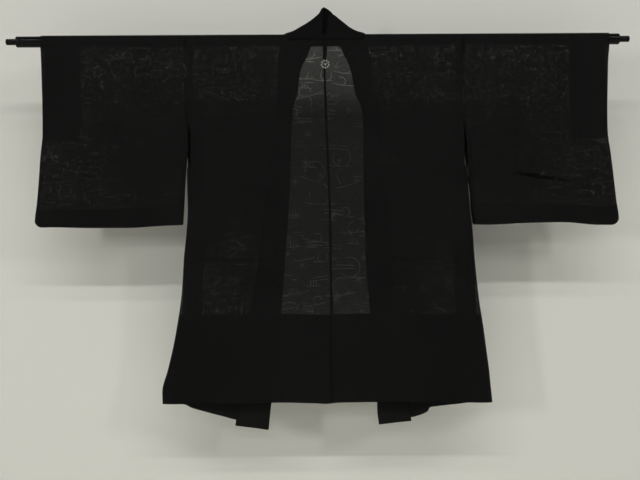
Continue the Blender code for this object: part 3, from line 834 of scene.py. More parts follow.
# %% Figures
def circles(make, cloth, scale, shift, small, large, share):
    """Broken circles, each with a long branch that leaves it at the bottom."""
    away, random = make.cells(cloth, scale, shift)
    x, y = make.split(away)[:2]
    size = make.vector("LENGTH", away).outputs["Value"]
    radius = make.ramp(random[0], 0.0, 1.0, small, large)
    ring = stroke(make, make.sum("SUBTRACT", size, radius))
    turn = make.sum("ADD", make.sum("ARCTAN2", y, x), make.sum("MULTIPLY", random[1], FULL_TURN))
    ring = make.sum("MULTIPLY", ring, make.ramp(make.sum("SINE", turn), -0.80, -0.60))
    low = make.sum("ADD", y, radius)
    branch = stroke(make, gentle_line(make, x, low, random[1], 0.30, 3.0))
    branch = make.sum("MULTIPLY", branch, within(make, x, 0.034))
    shown = make.sum("GREATER_THAN", random[2], 1.0 - share)
    return make.sum("MULTIPLY", make.sum("MAXIMUM", ring, branch), shown)


def sprigs(make, cloth, scale, shift, reach, share):
    """Three short strokes crossed in a star."""
    away, random = make.cells(cloth, scale, shift)
    x, y = make.split(away)[:2]
    size = make.vector("LENGTH", away).outputs["Value"]
    turned = make.sum("MULTIPLY_ADD", make.sum("ARCTAN2", y, x), 3.0, make.sum("MULTIPLY", random[1], 3.0))
    beside = make.sum("MULTIPLY", make.sum("MULTIPLY", make.sum("SINE", turned), size), 0.45)
    length = make.ramp(random[0], 0.0, 1.0, 0.6 * reach, reach)
    inside = make.sum("LESS_THAN", size, length)
    shown = make.sum("MULTIPLY", inside, make.sum("GREATER_THAN", random[2], 1.0 - share))
    return make.sum("MULTIPLY", stroke(make, beside, STROKE * 0.7), shown)


def bars(make, cloth, scale, shift, pitch, height, share):
    """A few upright bars standing on a short base line."""
    away, random = make.cells(cloth, scale, shift)
    x, y = make.split(away)[:2]
    line = gentle_line(make, x, y, random[0], 0.12, 0.0)
    upright = stroke(make, make.sum("PINGPONG", x, pitch / 2), STROKE * 0.8)
    above, below = make.sum("GREATER_THAN", line, 0.0), make.sum("LESS_THAN", line, height)
    upright = make.sum("MULTIPLY", upright, make.sum("MULTIPLY", above, below))
    upright = make.sum("MULTIPLY", upright, within(make, x, 1.7 * pitch))
    base = make.sum("MULTIPLY", stroke(make, line), within(make, x, 2.6 * pitch))
    shown = make.sum("GREATER_THAN", random[2], 1.0 - share)
    return make.sum("MULTIPLY", make.sum("MAXIMUM", upright, base), shown)


def level_pairs(make, cloth, scale, shift, apart, share):
    """Two long lines side by side, nearly level."""
    away, random = make.cells(cloth, scale, shift)
    x, y = make.split(away)[:2]
    line = gentle_line(make, x, y, random[0], 0.22, -2.5)
    pair = stroke(make, make.sum("SUBTRACT", make.sum("ABSOLUTE", line), apart / 2))
    length = make.ramp(random[1], 0.0, 1.0, 0.010, 0.030)
    shown = make.sum("MULTIPLY", within(make, x, length), make.sum("GREATER_THAN", random[2], 1.0 - share))
    return make.sum("MULTIPLY", pair, shown)


def figures(make, cloth):
    """All the woven figures together: 0 on the ground, up to 1 on a figure."""
    made = [
        circles(make, cloth, 13.0, (0.0, 0.0, 0.0), 0.016, 0.024, 0.80),
        circles(make, cloth, 17.0, (3.1, 1.7, 0.0), 0.007, 0.013, 0.45),
        sprigs(make, cloth, 21.0, (1.3, 4.2, 0.0), 0.012, 0.60),
        bars(make, cloth, 17.0, (7.7, 3.3, 0.0), 0.0062, 0.014, 0.40),
        level_pairs(make, cloth, 15.0, (2.2, 6.1, 0.0), 0.0075, 0.55),
    ]
    total = made[0]
    for one in made[1:]:
        total = make.sum("MAXIMUM", total, one)
    patchy = make.ramp(make.noise(cloth, 22.0, 1.0, (4.4, 4.4, 0.0)), 0.30, 0.62, 0.45, 1.0)
    return make.sum("MULTIPLY", total, patchy)


print("kinds of figure:", ", ".join(kind.__name__ for kind in (circles, sprigs, bars, level_pairs)))

# %% [markdown]
# ## Threads, and how two layers beat
# One layer shows its fine ribs only as a slight relief.  Two layers of such open
# cloth beat against each other in a fine scribble.  Threads are far too fine to draw
# one by one, so the front layer, which the light meets before the back one, carries
# that scribble itself.  Low on the fronts, and most on the left, more light is let
# through as painted light from behind, so the scribble shows most there.

# %% Threads and scribble
RIB = 0.0011
THREAD = 0.0008


def weave(make, cloth):
    """Height of the ribs across the cloth and the threads along it, -1 to 1."""
    parts = make.split(cloth)
    across = make.sum("SINE", make.sum("MULTIPLY", parts[1], 2 * math.pi / RIB))
    down = make.sum("SINE", make.sum("MULTIPLY", parts[0], 2 * math.pi / THREAD))
    return make.sum("MULTIPLY_ADD", down, 0.4, make.sum("MULTIPLY", across, 0.6))


def level_lines(make, place, noise, level, width, mask_place, mask_noise, mask):
    """Thin lines where a noise passes a level, kept where another noise is high."""
    off = make.sum("ABSOLUTE", make.sum("SUBTRACT", make.noise(place, *noise), level))
    line = make.ramp(off, *width, 1.0, 0.0)
    return make.sum("MULTIPLY", line, make.ramp(make.noise(mask_place, *mask_noise), *mask))


def beat(make, cloth):
    """Scribble where two layers' threads fall in and out of step, 0 to 1."""
    curls = level_lines(make, cloth, (118.0, 0.0, (1.9, 7.3, 0.0)), 0.5, (0.040, 0.100),
                        cloth, (96.0, 0.0, (3.3, 0.2, 0.0)), (0.49, 0.56))
    flat = make.vector("MULTIPLY", cloth, (0.75, 1.25, 1.0)).outputs[0]
    dashes = level_lines(make, flat, (112.0, 0.0, (6.1, 0.4, 0.0)), 0.53, (0.030, 0.085),
                         cloth, (88.0, 0.0, (0.8, 5.5, 0.0)), (0.50, 0.57))
    patchy = make.ramp(make.noise(cloth, 17.0, 1.0, (2.4, 8.1, 0.0)), 0.36, 0.56, 0.60, 1.0)
    return make.sum("MULTIPLY", make.sum("MAXIMUM", curls, dashes), patchy)


def painted_backlight(make, cloth):
    """Over 1 low on the fronts and most on the left one: painted light from behind the cloth."""
    across, down = make.split(cloth)[:2]
    lower = make.ramp(make.sum("MULTIPLY_ADD", across, -0.2, down), 0.45, 0.55)
    lower = make.sum("MULTIPLY", lower, make.ramp(down, 0.66, 0.72, 1.0, 0.0))
    inner = make.ramp(make.sum("ABSOLUTE", across), 0.27, 0.30, 1.0, 0.0)
    more = make.ramp(across, -0.1, 0.1, 0.38, 0.20)
    return make.sum("MULTIPLY_ADD", make.sum("MULTIPLY", lower, inner), more, 1.0)


print("ribs", RIB * 1000, "mm apart, threads", THREAD * 1000, "mm")

# %% [markdown]
# ## How much light comes through
# Black silk throws back almost no light, so what the cloth shows is what it lets
# through.  The cloth is a shell with two faces, and each face lets through the square
# root of what one layer does.  A translucent shader would scatter the light, but it
# goes straight through the holes of open gauze, so plain see-through is truer.  The
# figured cloth puts together the figures, fine streaks in the yarn, the scribble on
# the front layer, painted light from behind low on the fronts, and painted shade on
# the front tips that hang lower than the back, where less light gets through.

# %% Light through the cloth
GROUND_THROUGH = 0.285
FIGURE_THROUGH = 0.475
FRONT_STARTS = 0.0430
SCRIBBLE_THROUGH = (0.46, 2.00)
TIPS_START = (0.846, 0.856)
TIPS_PAINTED_SHADE = 0.60


def plain_through(make, cloudy):
    """Light through one face of plain gauze, a little cloudy."""
    return make.ramp(cloudy, 0.3, 0.7, 0.92 * GROUND_THROUGH, 1.08 * GROUND_THROUGH)


def figured_through(make, cloth, figure):
    """Light through one face of figured gauze."""
    through = make.ramp(figure, 0.0, 1.0, GROUND_THROUGH, FIGURE_THROUGH)
    streaks = make.noise(make.vector("MULTIPLY", cloth, (0.25, 1.0, 1.0)).outputs[0], 320.0, 1.0)
    even = make.ramp(streaks, 0.30, 0.70, 0.93, 1.07)
    down = make.split(cloth)[1]
    on_front = make.ramp(down, FRONT_STARTS - 0.002, FRONT_STARTS + 0.004)
    beaten = make.ramp(beat(make, cloth), 0.0, 1.0, *SCRIBBLE_THROUGH)
    uneven = make.sum("MULTIPLY_ADD", make.sum("SUBTRACT", beaten, 1.0), on_front, even)
    # Painted light: more light is let through low on the fronts.
    through = make.sum("MULTIPLY", through, make.sum("MULTIPLY", uneven, painted_backlight(make, cloth)))
    from_shoulder = make.sum("ABSOLUTE", make.sum("SUBTRACT", down, FRONT_STARTS / 2))
    # Painted shade: less light gets through on the front tips below the back's hem.
    return make.sum("MULTIPLY", through, make.ramp(from_shoulder, *TIPS_START, 1.0, TIPS_PAINTED_SHADE))


print("one layer lets through", round(GROUND_THROUGH ** 2, 3), "and", round(FIGURE_THROUGH ** 2, 3))

# %% [markdown]
# ## The gauze materials
# All are the same black silk, so one recipe makes the four of them.  The figured gauze
# makes the large pieces.  The wide turned-in edges show no figures of their own, so
# they are plain.  Where an edge is folded over twice or the collar's band lies double,
# nothing is seen through.  The collar's colour is painted darker at the nape, as
# painted shade for the shadow there.

# %% Gauze materials
BLACK_SILK = (0.0050, 0.0054, 0.0049)
PAINTED_SHADE_ENDS = (0.095, 0.150)
PAINTED_NAPE_SHADE = 0.34


def gauze(name, how):
    """how: figured, plain (single, with no figures), doubled (nothing seen through) or collar (painted
    shade at the nape).
    """
    make = Nodes(name)
    cloth = make.add("ShaderNodeUVMap", uv_map="cloth").outputs[0]
    cloudy = make.noise(cloth, 9.0, 2.0)
    colour = make.tint(make.ramp(cloudy, 0.3, 0.7), BLACK_SILK, 0.88, 1.14)
    make.set(roughness=0.70, sheen_weight=0.02, sheen_roughness=0.45)
    make.shader.inputs["Specular IOR Level"].default_value = 0.08
    make.bump(weave(make, cloth), 0.35, 0.0002)
    through = None
    if how == "collar":
        # Painted shade: the collar's colour is made darker toward the nape.
        from_nape = make.sum("ABSOLUTE", make.split(cloth)[1])
        shade = make.ramp(from_nape, *PAINTED_SHADE_ENDS, PAINTED_NAPE_SHADE, 1.0)
        colour = make.vector("SCALE", colour, scale=shade).outputs[0]
    if how == "plain":
        through = plain_through(make, cloudy)
    if how == "figured":
        figure = figures(make, cloth)
        through = figured_through(make, cloth, figure)
        colour = make.vector("SCALE", colour, scale=make.ramp(figure, 0.0, 1.0, 1.0, 1.25)).outputs[0]
    if through is not None:
        make.join(make.sum("SUBTRACT", 1.0, through), make.shader.inputs["Alpha"])
    make.join(colour, make.shader.inputs["Base Color"])
    print(name, "from", len(make.tree.nodes), "nodes")
    return make.material


sheer_gauze = gauze("sheer_gauze", "figured")
plain_gauze = gauze("plain_gauze", "plain")
doubled_gauze = gauze("doubled_gauze", "doubled")
collar_gauze = gauze("collar_gauze", "collar")

# %% [markdown]
# ## From points to cloth
# `grid_of_cloth` takes grids of points and, for each, a grid of places on the flat
# cloth, and makes one sheet.  The places become the sheet's map, in metres, so the
# weave keeps its true size however the cloth hangs.  Solidify then gives the sheet the
# thickness of gauze.  A flat plane could be bent with modifiers instead, but points
# set in rows are exact, and give the map and the seams at once.

# %% Cloth maker
SAME_POINT = 0.00004


def stack(x, y, z):
    """Points from their three parts, each a number or an array."""
    return np.stack(np.broadcast_arrays(x, y, z), axis=-1)


def places(u, v):
    """Places on the flat cloth, across and along."""
    return np.stack(np.broadcast_arrays(u, v), axis=-1)


def add_piece(name, mesh, material):
    """Put a mesh in the scene as a smooth piece that rides on the one body."""
    mesh.shade_smooth()
    mesh.materials.append(material)
    piece = bpy.data.objects.new(name, mesh)
    scene.collection.objects.link(piece)
    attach(piece, "root")
    return piece


def grid_mesh(name, points, on_cloth):
    """One sheet: its points, and their places on the cloth, in rows and columns."""
    rows, columns = points.shape[:2]
    sheet = bmesh.new()
    bmesh.ops.create_grid(sheet, x_segments=columns - 1, y_segments=rows - 1, size=0.5)
    mesh = mesh_from(sheet, name)
    flat = np.empty(len(mesh.vertices) * 3)
    mesh.vertices.foreach_get("co", flat)
    flat = flat.reshape(-1, 3)
    column = np.rint((flat[:, 0] + 0.5) * (columns - 1)).astype(int)
    row = np.rint((flat[:, 1] + 0.5) * (rows - 1)).astype(int)
    mesh.vertices.foreach_set("co", points[row, column].astype(np.float32).ravel())
    corner = np.empty(len(mesh.loops), int)
    mesh.loops.foreach_get("vertex_index", corner)
    layer = mesh.uv_layers.new(name="cloth")
    layer.data.foreach_set("uv", on_cloth[row, column][corner].astype(np.float32).ravel())
    return mesh


def grid_of_cloth(name, grids, material, thickness=GAUZE):
    """A piece of cloth from one or more grids that share edges."""
    joined = bmesh.new()
    for points, on_cloth in grids:
        part = grid_mesh(name + "_part", points, on_cloth)
        joined.from_mesh(part)
        bpy.data.meshes.remove(part)
    bmesh.ops.remove_doubles(joined, verts=joined.verts, dist=SAME_POINT)
    piece = add_piece(name, mesh_from(joined, name), material)
    solid = piece.modifiers.new("thickness", "SOLIDIFY")
    solid.thickness = thickness
    solid.offset = 0.0
    print(name, len(piece.data.polygons), "faces")
    return piece


print("points closer than", SAME_POINT * 1e6, "micrometres are joined")

# %% [markdown]
# ## The body
# Each half of the body is one length of cloth: from the hem inside the back, round
# the hem's fold, up the back, over the shoulder, down the front and round that hem
# too.  The turned-up hems are deep, about 20 cm, and make the dark band at the
# bottom where four layers lie together.  A row of the grid is a level share of the
# way down, and `turn` carries it round the hem's fold.  Rows turned by more than
# TURNED_UP, a little under half a turn, lie inside the hem.

# %% Body rows
HEM_TURNED = 0.243
HEM_FOLD = 0.0009
FOLD_ROWS = 4
TURNED_ROWS = 40
BODY_ROWS = 170
CREASED_LEVELS = (0.595, 0.675)
CREASED_ROWS = 34
TURNED_UP = 3.1
ARC_LENGTH = math.pi * DRAPE_RADIUS
OVER_ROD = np.radians(np.linspace(-90.0, 90.0, 13))[1:-1, None]


def hem_rows():
    """Level and turn from the rod to the hem, round its fold and up inside."""
    down = np.union1d(np.linspace(0.0, 1.0, BODY_ROWS + 1), np.linspace(*CREASED_LEVELS, CREASED_ROWS))
    up = 1.0 - HEM_TURNED * np.linspace(0.0, 1.0, TURNED_ROWS)
    round_fold = math.pi * np.arange(1, FOLD_ROWS + 1) / (FOLD_ROWS + 1)
    level = np.concatenate((down, [1.0] * FOLD_ROWS, up))
    turn = np.concatenate((0.0 * down, round_fold, [math.pi] * TURNED_ROWS))
    return level[:, None], turn[:, None]


def hang(level, turn, hem):
    """Drop, step inward and length of cloth from the rod, for rows of a hem."""
    drop = level * (hem - HEM_FOLD) + HEM_FOLD * np.sin(turn)
    inward = HEM_FOLD * (1.0 - np.cos(turn))
    length = np.where(turn < TURNED_UP, level * hem, (2.0 - level) * hem) + HEM_FOLD * turn
    return drop, inward, length


def over_rod(x, radius):
    """Points over the top of the rod, from its near side to its far side."""
    return stack(x, radius * np.sin(OVER_ROD), radius * np.cos(OVER_ROD))


print("body rows:", len(hem_rows()[0]), "of which", TURNED_ROWS, "in the turned-up hem")

# %% [markdown]
# ### The body's two halves
# The back reaches from the side seam to the centre seam, and the front from the side
# seam to the collar's seam.  Between the shoulder and the centre the back ends under
# the collar, so that part is a second, narrower grid that shares an edge with the
# first.  One wide grid would need a hole cut for the neck; two keep every face
# four-sided.

# %% Body
BODY_COLUMNS = 56
NECK_COLUMNS = 22
COLLAR_TUCK = 0.0028


def back_grid(side, out_edge, in_edge, columns):
    """Back rows between two edges, each a function of the level giving x."""
    level, turn = hem_rows()
    share = np.linspace(0.0, 1.0, columns + 1)[None, :]
    x = mix(out_edge(level), in_edge(level), share)
    drop, inward, length = hang(level, turn, along(BACK_HEM, side, np.abs(x)))
    points = stack(x, back_depth(x, drop) + inward, -drop)
    return points[::-1], places(x, -length)[::-1]


def front_seam(side, level):
    """Where a front meets the collar: out and drop at each level."""
    on_collar = level * COLLAR_FRONT[side]["seam_drop"][-1]
    own = level * along(FRONT_HEM, side, FRONT_HEM["out"][1])
    drop = mix(on_collar, own, level ** 6)
    tucked = COLLAR_TUCK * smooth(level / 0.2)
    return along(COLLAR_FRONT[side], "seam_out", drop) - tucked, drop


def front_place(side, level, share):
    """Out and hanging height of a front at a level and a share from its side seam."""
    side_out = along(FRONT_SIDE, side, level * BACK_DROP)
    seam_out, seam_drop = front_seam(side, level)
    out = mix(side_out, seam_out, share)
    short = seam_drop - level * along(FRONT_HEM, side, seam_out)
    drop = level * (along(FRONT_HEM, side, out) - HEM_FOLD) + short * smooth(2.5 * share - 1.5)
    return out, drop


def body(side):
    """One half of the body: back, over the rod, front, and both turned-up hems."""
    sign = SIDES[side]
    neck_back = along(NECK_SEAM, side, -1.0)

    def side_x(level):
        return sign * along(BACK_SIDE, side, level * BACK_DROP)

    def neck_x(level):
        return sign * neck_back + 0.0 * level

    def centre_x(level):
        return centre_seam_x(level * BACK_DROP) + sign * SEAM_GAP / 2

    share = np.linspace(0.0, 1.0, BODY_COLUMNS + 1)[None, :]
    back, back_map = back_grid(side, side_x, neck_x, BODY_COLUMNS)
    neck_out = along(NECK_SEAM, side, np.degrees(OVER_ROD) / 90.0)
    x = sign * mix(BACK_SIDE[side][0], neck_out, share)
    over = over_rod(x, DRAPE_RADIUS)
    over_map = places(x, DRAPE_RADIUS * (OVER_ROD + math.pi / 2))
    level, turn = hem_rows()
    out, drop = front_place(side, level, share)
    x = sign * out
    inward = HEM_FOLD * (1.0 - np.cos(turn))
    drop = drop + HEM_FOLD * np.sin(turn)
    length = np.where(turn < TURNED_UP, drop, 2.0 * along(FRONT_HEM, side, out) - drop)
    front = stack(x, front_depth(x, drop) - inward, -drop)
    outer = (np.concatenate((back, over, front)),
             np.concatenate((back_map, over_map, places(x, ARC_LENGTH + length))))
    inner = back_grid(side, neck_x, centre_x, NECK_COLUMNS)
    return grid_of_cloth("body_cloth_" + side, [outer, inner], sheer_gauze)


BODY = {side: body(side) for side in SIDES}

# %% [markdown]
# ## Turned-in edges
# The spare width of the cloth isn't cut away.  It is folded in along the side seams,
# and the back's top edge is folded in under the collar.  Each such strip hangs one
# layer inside the cloth that it belongs to, and darkens it.  Darker paint on one sheet
# could stand for them, but real strips darken whatever lies behind, from any side.
# Down the centre back both halves' edges are folded over together, which gives the
# jacket its dark middle line.

# %% Turned-in edges
SIDE_TURNED = 0.040
SIDE_TURNED_ABOVE = 0.013
CLEAR_OF_EDGE = 0.0004
THIN = 0.0002


def side_turning(side, face):
    """The spare width folded in along a side seam, narrow above and wide below the arm."""
    sign = SIDES[side]
    level = np.linspace(0.012, 0.9985, 150)[:, None]
    share = np.linspace(0.0, 1.0, 9)[None, :]
    width = mix(SIDE_TURNED_ABOVE, SIDE_TURNED, smooth((level - 0.15) / 0.35))
    outline = BACK_SIDE if face == "back" else FRONT_SIDE
    edge = along(outline, side, level * BACK_DROP) - CLEAR_OF_EDGE
    out = edge - width * share
    x = sign * out
    if face == "back":
        drop = level * along(BACK_HEM, side, out)
        y = back_depth(x, drop) + LAYER
        v = -drop
    else:
        drop = level * along(FRONT_HEM, side, out)
        y = front_depth(x, drop) - LAYER
        v = ARC_LENGTH + drop
    grid = (stack(x, y, -drop), places(2 * sign * edge - x, v))
    name = face + "_side_turning_" + side
    return grid_of_cloth(name, [grid], plain_gauze, 2 * THIN)


for side in SIDES:
    side_turning(side, "back")
    side_turning(side, "front")

# %% [markdown]
# ### Neck and centre back
# The neck's edge is a short strip just under the collar.  The centre back's strip
# lies to the right of the seam, folded over once.  It is a little wider just below
# the neck and toward the hem, since it was pressed by hand and not cut to a line.

# %% Neck and centre back
NECK_REACH = (-0.0815, 0.0890)
NECK_TURNED = 0.0166
CENTRE_WIDTH = 0.0050
CENTRE_WIDER_AT_NECK = 0.0042
CENTRE_WIDER_AT_HEM = 0.0016
FOLD_ACROSS = np.array([0.0, 0.35, 0.7, 0.93, 1.0, 0.93, 0.7, 0.35, 0.02])[None, :]
FOLD_LAYER = np.array([0.0, 0.0, 0.0, 0.1, 0.5, 0.9, 1.0, 1.0, 1.0])[None, :]


def neck_turning():
    """The back's top edge, folded in under the collar."""
    x = np.linspace(*NECK_REACH, 60)[None, :]
    drop = np.linspace(0.0002, NECK_TURNED, 7)[:, None]
    points = stack(x, back_depth(x, drop) + 0.00055, -drop)
    grid = (points, places(x, drop))
    return grid_of_cloth("back_neck_turning", [grid], doubled_gauze, THIN)


def centre_turning():
    """Both halves' spare edges, folded over to one side down the centre back."""
    drop = np.linspace(0.0, 0.998, 180)[:, None] * BACK_HEM["left"][0]
    at_neck = CENTRE_WIDER_AT_NECK * (1.0 - smooth((drop - 0.030) / 0.022))
    at_hem = CENTRE_WIDER_AT_HEM * smooth((drop - 0.56) / 0.04)
    wide = CENTRE_WIDTH + at_neck + at_hem
    x = centre_seam_x(drop) - 0.0002 + wide * FOLD_ACROSS
    y = back_depth(x, drop) + 0.00050 + 0.00040 * FOLD_LAYER
    u = np.cumsum(np.abs(np.diff(FOLD_ACROSS, prepend=0.0)), axis=1) * CENTRE_WIDTH
    grid = (stack(x, y, -drop), places(u, drop))
    return grid_of_cloth("centre_back_turning", [grid], doubled_gauze, THIN)


neck_turning()
centre_turning()

# %% [markdown]
# ## The sleeves
# A haori's sleeve is a flat bag: one length of cloth folded over the shoulder,
# sewn along the bottom and up the outer edge as far as the cuff, and left open at
# the wrist and toward the body.  The grid is a ring that runs up the back layer,
# over the rod, down the front layer and round the bottom.  Its edges slant and its
# bottom is curved, so each place is found again from the last guess, a few times.

# %% Sleeves
SLEEVE_ROWS = 120
SLEEVE_COLUMNS = 72
TUCKED_LEVELS = (0.69, 0.79)
TUCKED_ROWS = 50
CLOSER_AT_CUFF = 1.35
SLEEVE_DROP = 0.42
SETTLE_ROUNDS = 4


def sleeve_layer(side, share, level, facing):
    """Out, drop and depth of a sleeve's layer at a share out and a level down."""
    drop = level * SLEEVE_DROP
    for _ in range(SETTLE_ROUNDS):
        out = mix(along(SLEEVE_INNER[facing], side, drop), along(SLEEVE_OUTER, side, drop), share)
        bottom = sleeve_bottom(side, out)
        drop = level * (bottom - sleeve_half_gap(side, out, bottom))
    return out, drop, sleeve_depth(side, out, drop, facing)


def round_bottom(front, back):
    """Points from the front layer's last row round to the back layer's, and their way."""
    turn = math.pi * np.linspace(0.0, 1.0, 7)[1:, None]
    front, back = front[None, :], back[None, :]
    half = (front[..., 1] - back[..., 1]) / 2
    middle = (front[..., 1] + back[..., 1]) / 2
    across = (1.0 - np.cos(turn)) / 2
    low = stack(mix(front[..., 0], back[..., 0], across),
                middle + half * np.cos(turn),
                mix(front[..., 2], back[..., 2], across) - half * np.sin(turn))
    return low, half * turn


def sleeve(side):
    """One sleeve as a ring of cloth."""
    sign = SIDES[side]
    share = 1.0 - (1.0 - np.linspace(0.0, 1.0, SLEEVE_COLUMNS + 1)[None, :]) ** CLOSER_AT_CUFF
    level = np.union1d(np.linspace(0.0, 1.0, SLEEVE_ROWS + 1), np.linspace(*TUCKED_LEVELS, TUCKED_ROWS))
    out, drop, y = sleeve_layer(side, share, level[:, None], -1.0)
    back = stack(sign * out, y, -drop)[::-1]
    back_map = places(sign * out, -drop)[::-1]
    out, drop, y = sleeve_layer(side, share, level[:, None], 1.0)
    front = stack(sign * out, y, -drop)
    front_map = places(sign * out, ARC_LENGTH + drop)
    x = sign * mix(SLEEVE_INNER_BACK[side][0], SLEEVE_OUTER[side][0], share)
    over = over_rod(x, DRAPE_RADIUS)
    over_map = places(x, DRAPE_RADIUS * (OVER_ROD + math.pi / 2))
    low, way = round_bottom(front[-1], back[0])
    low_map = places(front[-1, :, 0][None, :], ARC_LENGTH + drop[-1][None, :] + way)
    grid = (np.concatenate((back, over, front, low)),
            np.concatenate((back_map, over_map, front_map, low_map)))
    return grid_of_cloth("sleeve_cloth_" + side, [grid], sheer_gauze)


print("sleeve ring:", SLEEVE_ROWS, "rows to a layer,", SLEEVE_COLUMNS, "columns")

# %% [markdown]
# ### The sleeves' own edges
# The cuff has a deep turning inside it, all round the wrist.  The bottom's turning is
# wide too, and both are one plain layer.  The open edge toward the body is only a
# narrow hem, folded over twice.  Each is a strip of its own, since only the sum of
# real layers gets every overlap right.  Each sleeve is made here together with its
# strips.

# %% Sleeve edges turned in
CUFF_TURNED = 0.082
BOTTOM_TURNED = 0.040
OPEN_TURNED = 0.010
OPEN_REACH = (0.185, 0.414)


def sleeve_strip(side, out, drop, facing):
    """A strip inside a sleeve, lying against one of its layers."""
    gap = sleeve_half_gap(side, out, drop)
    inward = np.minimum(LAYER, 0.5 * gap)
    y = sleeve_depth(side, out, drop, facing) - facing * inward
    x = SIDES[side] * out
    return stack(x, y, -drop), places(2 * SIDES[side] * out.max() - x, facing * drop)


def cuff_turning(side):
    """The cuff's edge folded in, from its lower end behind to its lower end before."""
    sign = SIDES[side]
    drop = np.linspace(0.0, CUFF_DEPTH - 0.001, 50)[:, None]
    in_from_edge = CLEAR_OF_EDGE + CUFF_TURNED * np.linspace(0.0, 1.0, 13)[None, :]
    out = along(SLEEVE_OUTER, side, drop) - in_from_edge
    back, back_map = sleeve_strip(side, out, drop, -1.0)
    front, front_map = sleeve_strip(side, out, drop, 1.0)
    x = sign * (SLEEVE_OUTER[side][0] - in_from_edge)
    near_end = np.abs(np.sin(OVER_ROD)) ** 6
    radius = mix(DRAPE_RADIUS - 0.00055, DRAPE_RADIUS - LAYER, near_end)
    over = over_rod(x, radius)
    over_map = places(2 * sign * SLEEVE_OUTER[side][0] - x, radius * OVER_ROD)
    grid = (np.concatenate((back[::-1], over, front)),
            np.concatenate((back_map[::-1], over_map, front_map)))
    return grid_of_cloth("cuff_turning_" + side, [grid], plain_gauze, THIN)


def open_edge_turning(side, facing, name):
    """The narrow double fold along the sleeve's open edge, below the armhole seam."""
    drop = np.linspace(*OPEN_REACH, 80)[:, None]
    share = np.linspace(0.0, 1.0, 6)[None, :]
    out = along(SLEEVE_INNER[facing], side, drop) + 0.0003 + OPEN_TURNED * share
    gap = sleeve_half_gap(side, out, drop)
    y = sleeve_depth(side, out, drop, facing) - facing * np.minimum(0.7 * LAYER, 0.4 * gap)
    x = SIDES[side] * out
    grid = (stack(x, y, -drop), places(x, facing * drop))
    return grid_of_cloth(name + side, [grid], doubled_gauze, 0.0003)


def bottom_turning(side, facing, name):
    """The seam allowance inside the sleeve's bottom."""
    share = np.linspace(0.0, 1.0, 60)[None, :]
    up = np.linspace(0.0, 1.0, 8)[:, None]
    inner = along(SLEEVE_INNER[facing], side, 0.40) + 0.0012
    out = mix(inner, along(SLEEVE_OUTER, side, 0.40) - 0.006, share)
    bottom = sleeve_bottom(side, out)
    drop = bottom - sleeve_half_gap(side, out, bottom) - 0.0006 - BOTTOM_TURNED * up
    grid = sleeve_strip(side, out + 0.0 * drop, drop, facing)
    return grid_of_cloth(name + side, [grid], plain_gauze, THIN)


for side in SIDES:
    sleeve(side)
    cuff_turning(side)
    open_edge_turning(side, -1.0, "open_edge_turning_back_")
    open_edge_turning(side, 1.0, "open_edge_turning_front_")
    bottom_turning(side, -1.0, "sleeve_bottom_turning_back_")
    bottom_turning(side, 1.0, "sleeve_bottom_turning_front_")

# %% [markdown]
# ## The collar
# The collar is one long straight band.  Behind the neck it stands up and peaks at the
# centre crease, where it was folded in storage.  Over the rod it turns, and from the
# chest down its inner edge is folded outward.  A flat profile could be swept along a
# curve, but the band changes on its way from upright to folded, so a cross-section is
# found for each place along the seam.  Each starts as a soft curve drawn by four guide
# points, which come first.

# %% Collar guides
SHOULDER = 5.0
ON_ROD = 6.0
FRONT = 7.0
EDGE_SLIP = 0.0042
BULGE = Vector((0.0, 0.0012, 0.0))
OUTWARD = Vector((0.0, 0.0060, 0.0060))


def bezier(a, b, c, d, t):
    """A point of the soft curve from a to d, drawn toward b and c on its way."""
    s = 1.0 - t
    return a * s ** 3 + b * 3 * s * s * t + c * 3 * s * t * t + d * t ** 3


def neck_seam_place(side, place):
    """Where the collar is sewn on: across the back up to the shoulder, then over the rod."""
    sign = SIDES[side]
    if place <= SHOULDER:
        rows = COLLAR_NECK["out"][:int(SHOULDER) + 1]
        near_end = along(NECK_SEAM, side, -1.0) - SEAM_GAP - sign * NECK_CENTRE_X
        share = curve(np.arange(len(rows)), rows, place) / rows[-1]
        return Vector((NECK_CENTRE_X + sign * near_end * share, -COLLAR_DRAPE_RADIUS, SEAM_GAP))
    turn = place - ON_ROD
    out = along(NECK_SEAM, side, turn) - SEAM_GAP
    angle = math.pi / 2 * turn
    y, z = COLLAR_DRAPE_RADIUS * math.sin(angle), COLLAR_DRAPE_RADIUS * math.cos(angle)
    return Vector((sign * out, y, z))


def neck_guides(side, place):
    """Guides round the neck: 0 is the centre back, 5 the shoulder, 6 over the rod, 7 before it."""
    sign = SIDES[side]
    stretch = (along(NECK_SEAM, side, 0.0) - sign * NECK_CENTRE_X) / COLLAR_NECK["out"][-1]
    rows = np.arange(len(COLLAR_NECK["out"]))

    def guide(name):
        axes = [float(curve(rows, COLLAR_NECK[name + axis], min(place, rows[-1])))
                for axis in ("_out", "_depth", "_height")]
        slip = EDGE_SLIP * float(smooth((place - 4.0) / 2.0)) if name == "edge" else 0.0
        return Vector((NECK_CENTRE_X + sign * stretch * axes[0] + slip, axes[1], axes[2]))

    return [neck_seam_place(side, place), guide("near"), guide("far"), guide("edge")]


def front_guides(side, level):
    """Guides down a front, level with the front's own rows."""
    sign = SIDES[side]
    rows = COLLAR_FRONT[side]
    seam_drop = level * rows["seam_drop"][-1]
    seam_out = along(rows, "seam_out", seam_drop) - SEAM_GAP
    edge_out = along(rows, "edge_out", seam_drop)
    edge_drop = along(rows, "edge_drop", seam_drop)
    seam_depth = front_depth(sign * seam_out, seam_drop) + 0.0002
    edge_depth = front_depth(sign * edge_out, edge_drop) + 0.001
    seam = Vector((sign * seam_out, seam_depth, -seam_drop))
    edge = Vector((sign * edge_out, edge_depth, -edge_drop))
    return [seam, seam.lerp(edge, 1 / 3) + BULGE, seam.lerp(edge, 2 / 3) + BULGE, edge]


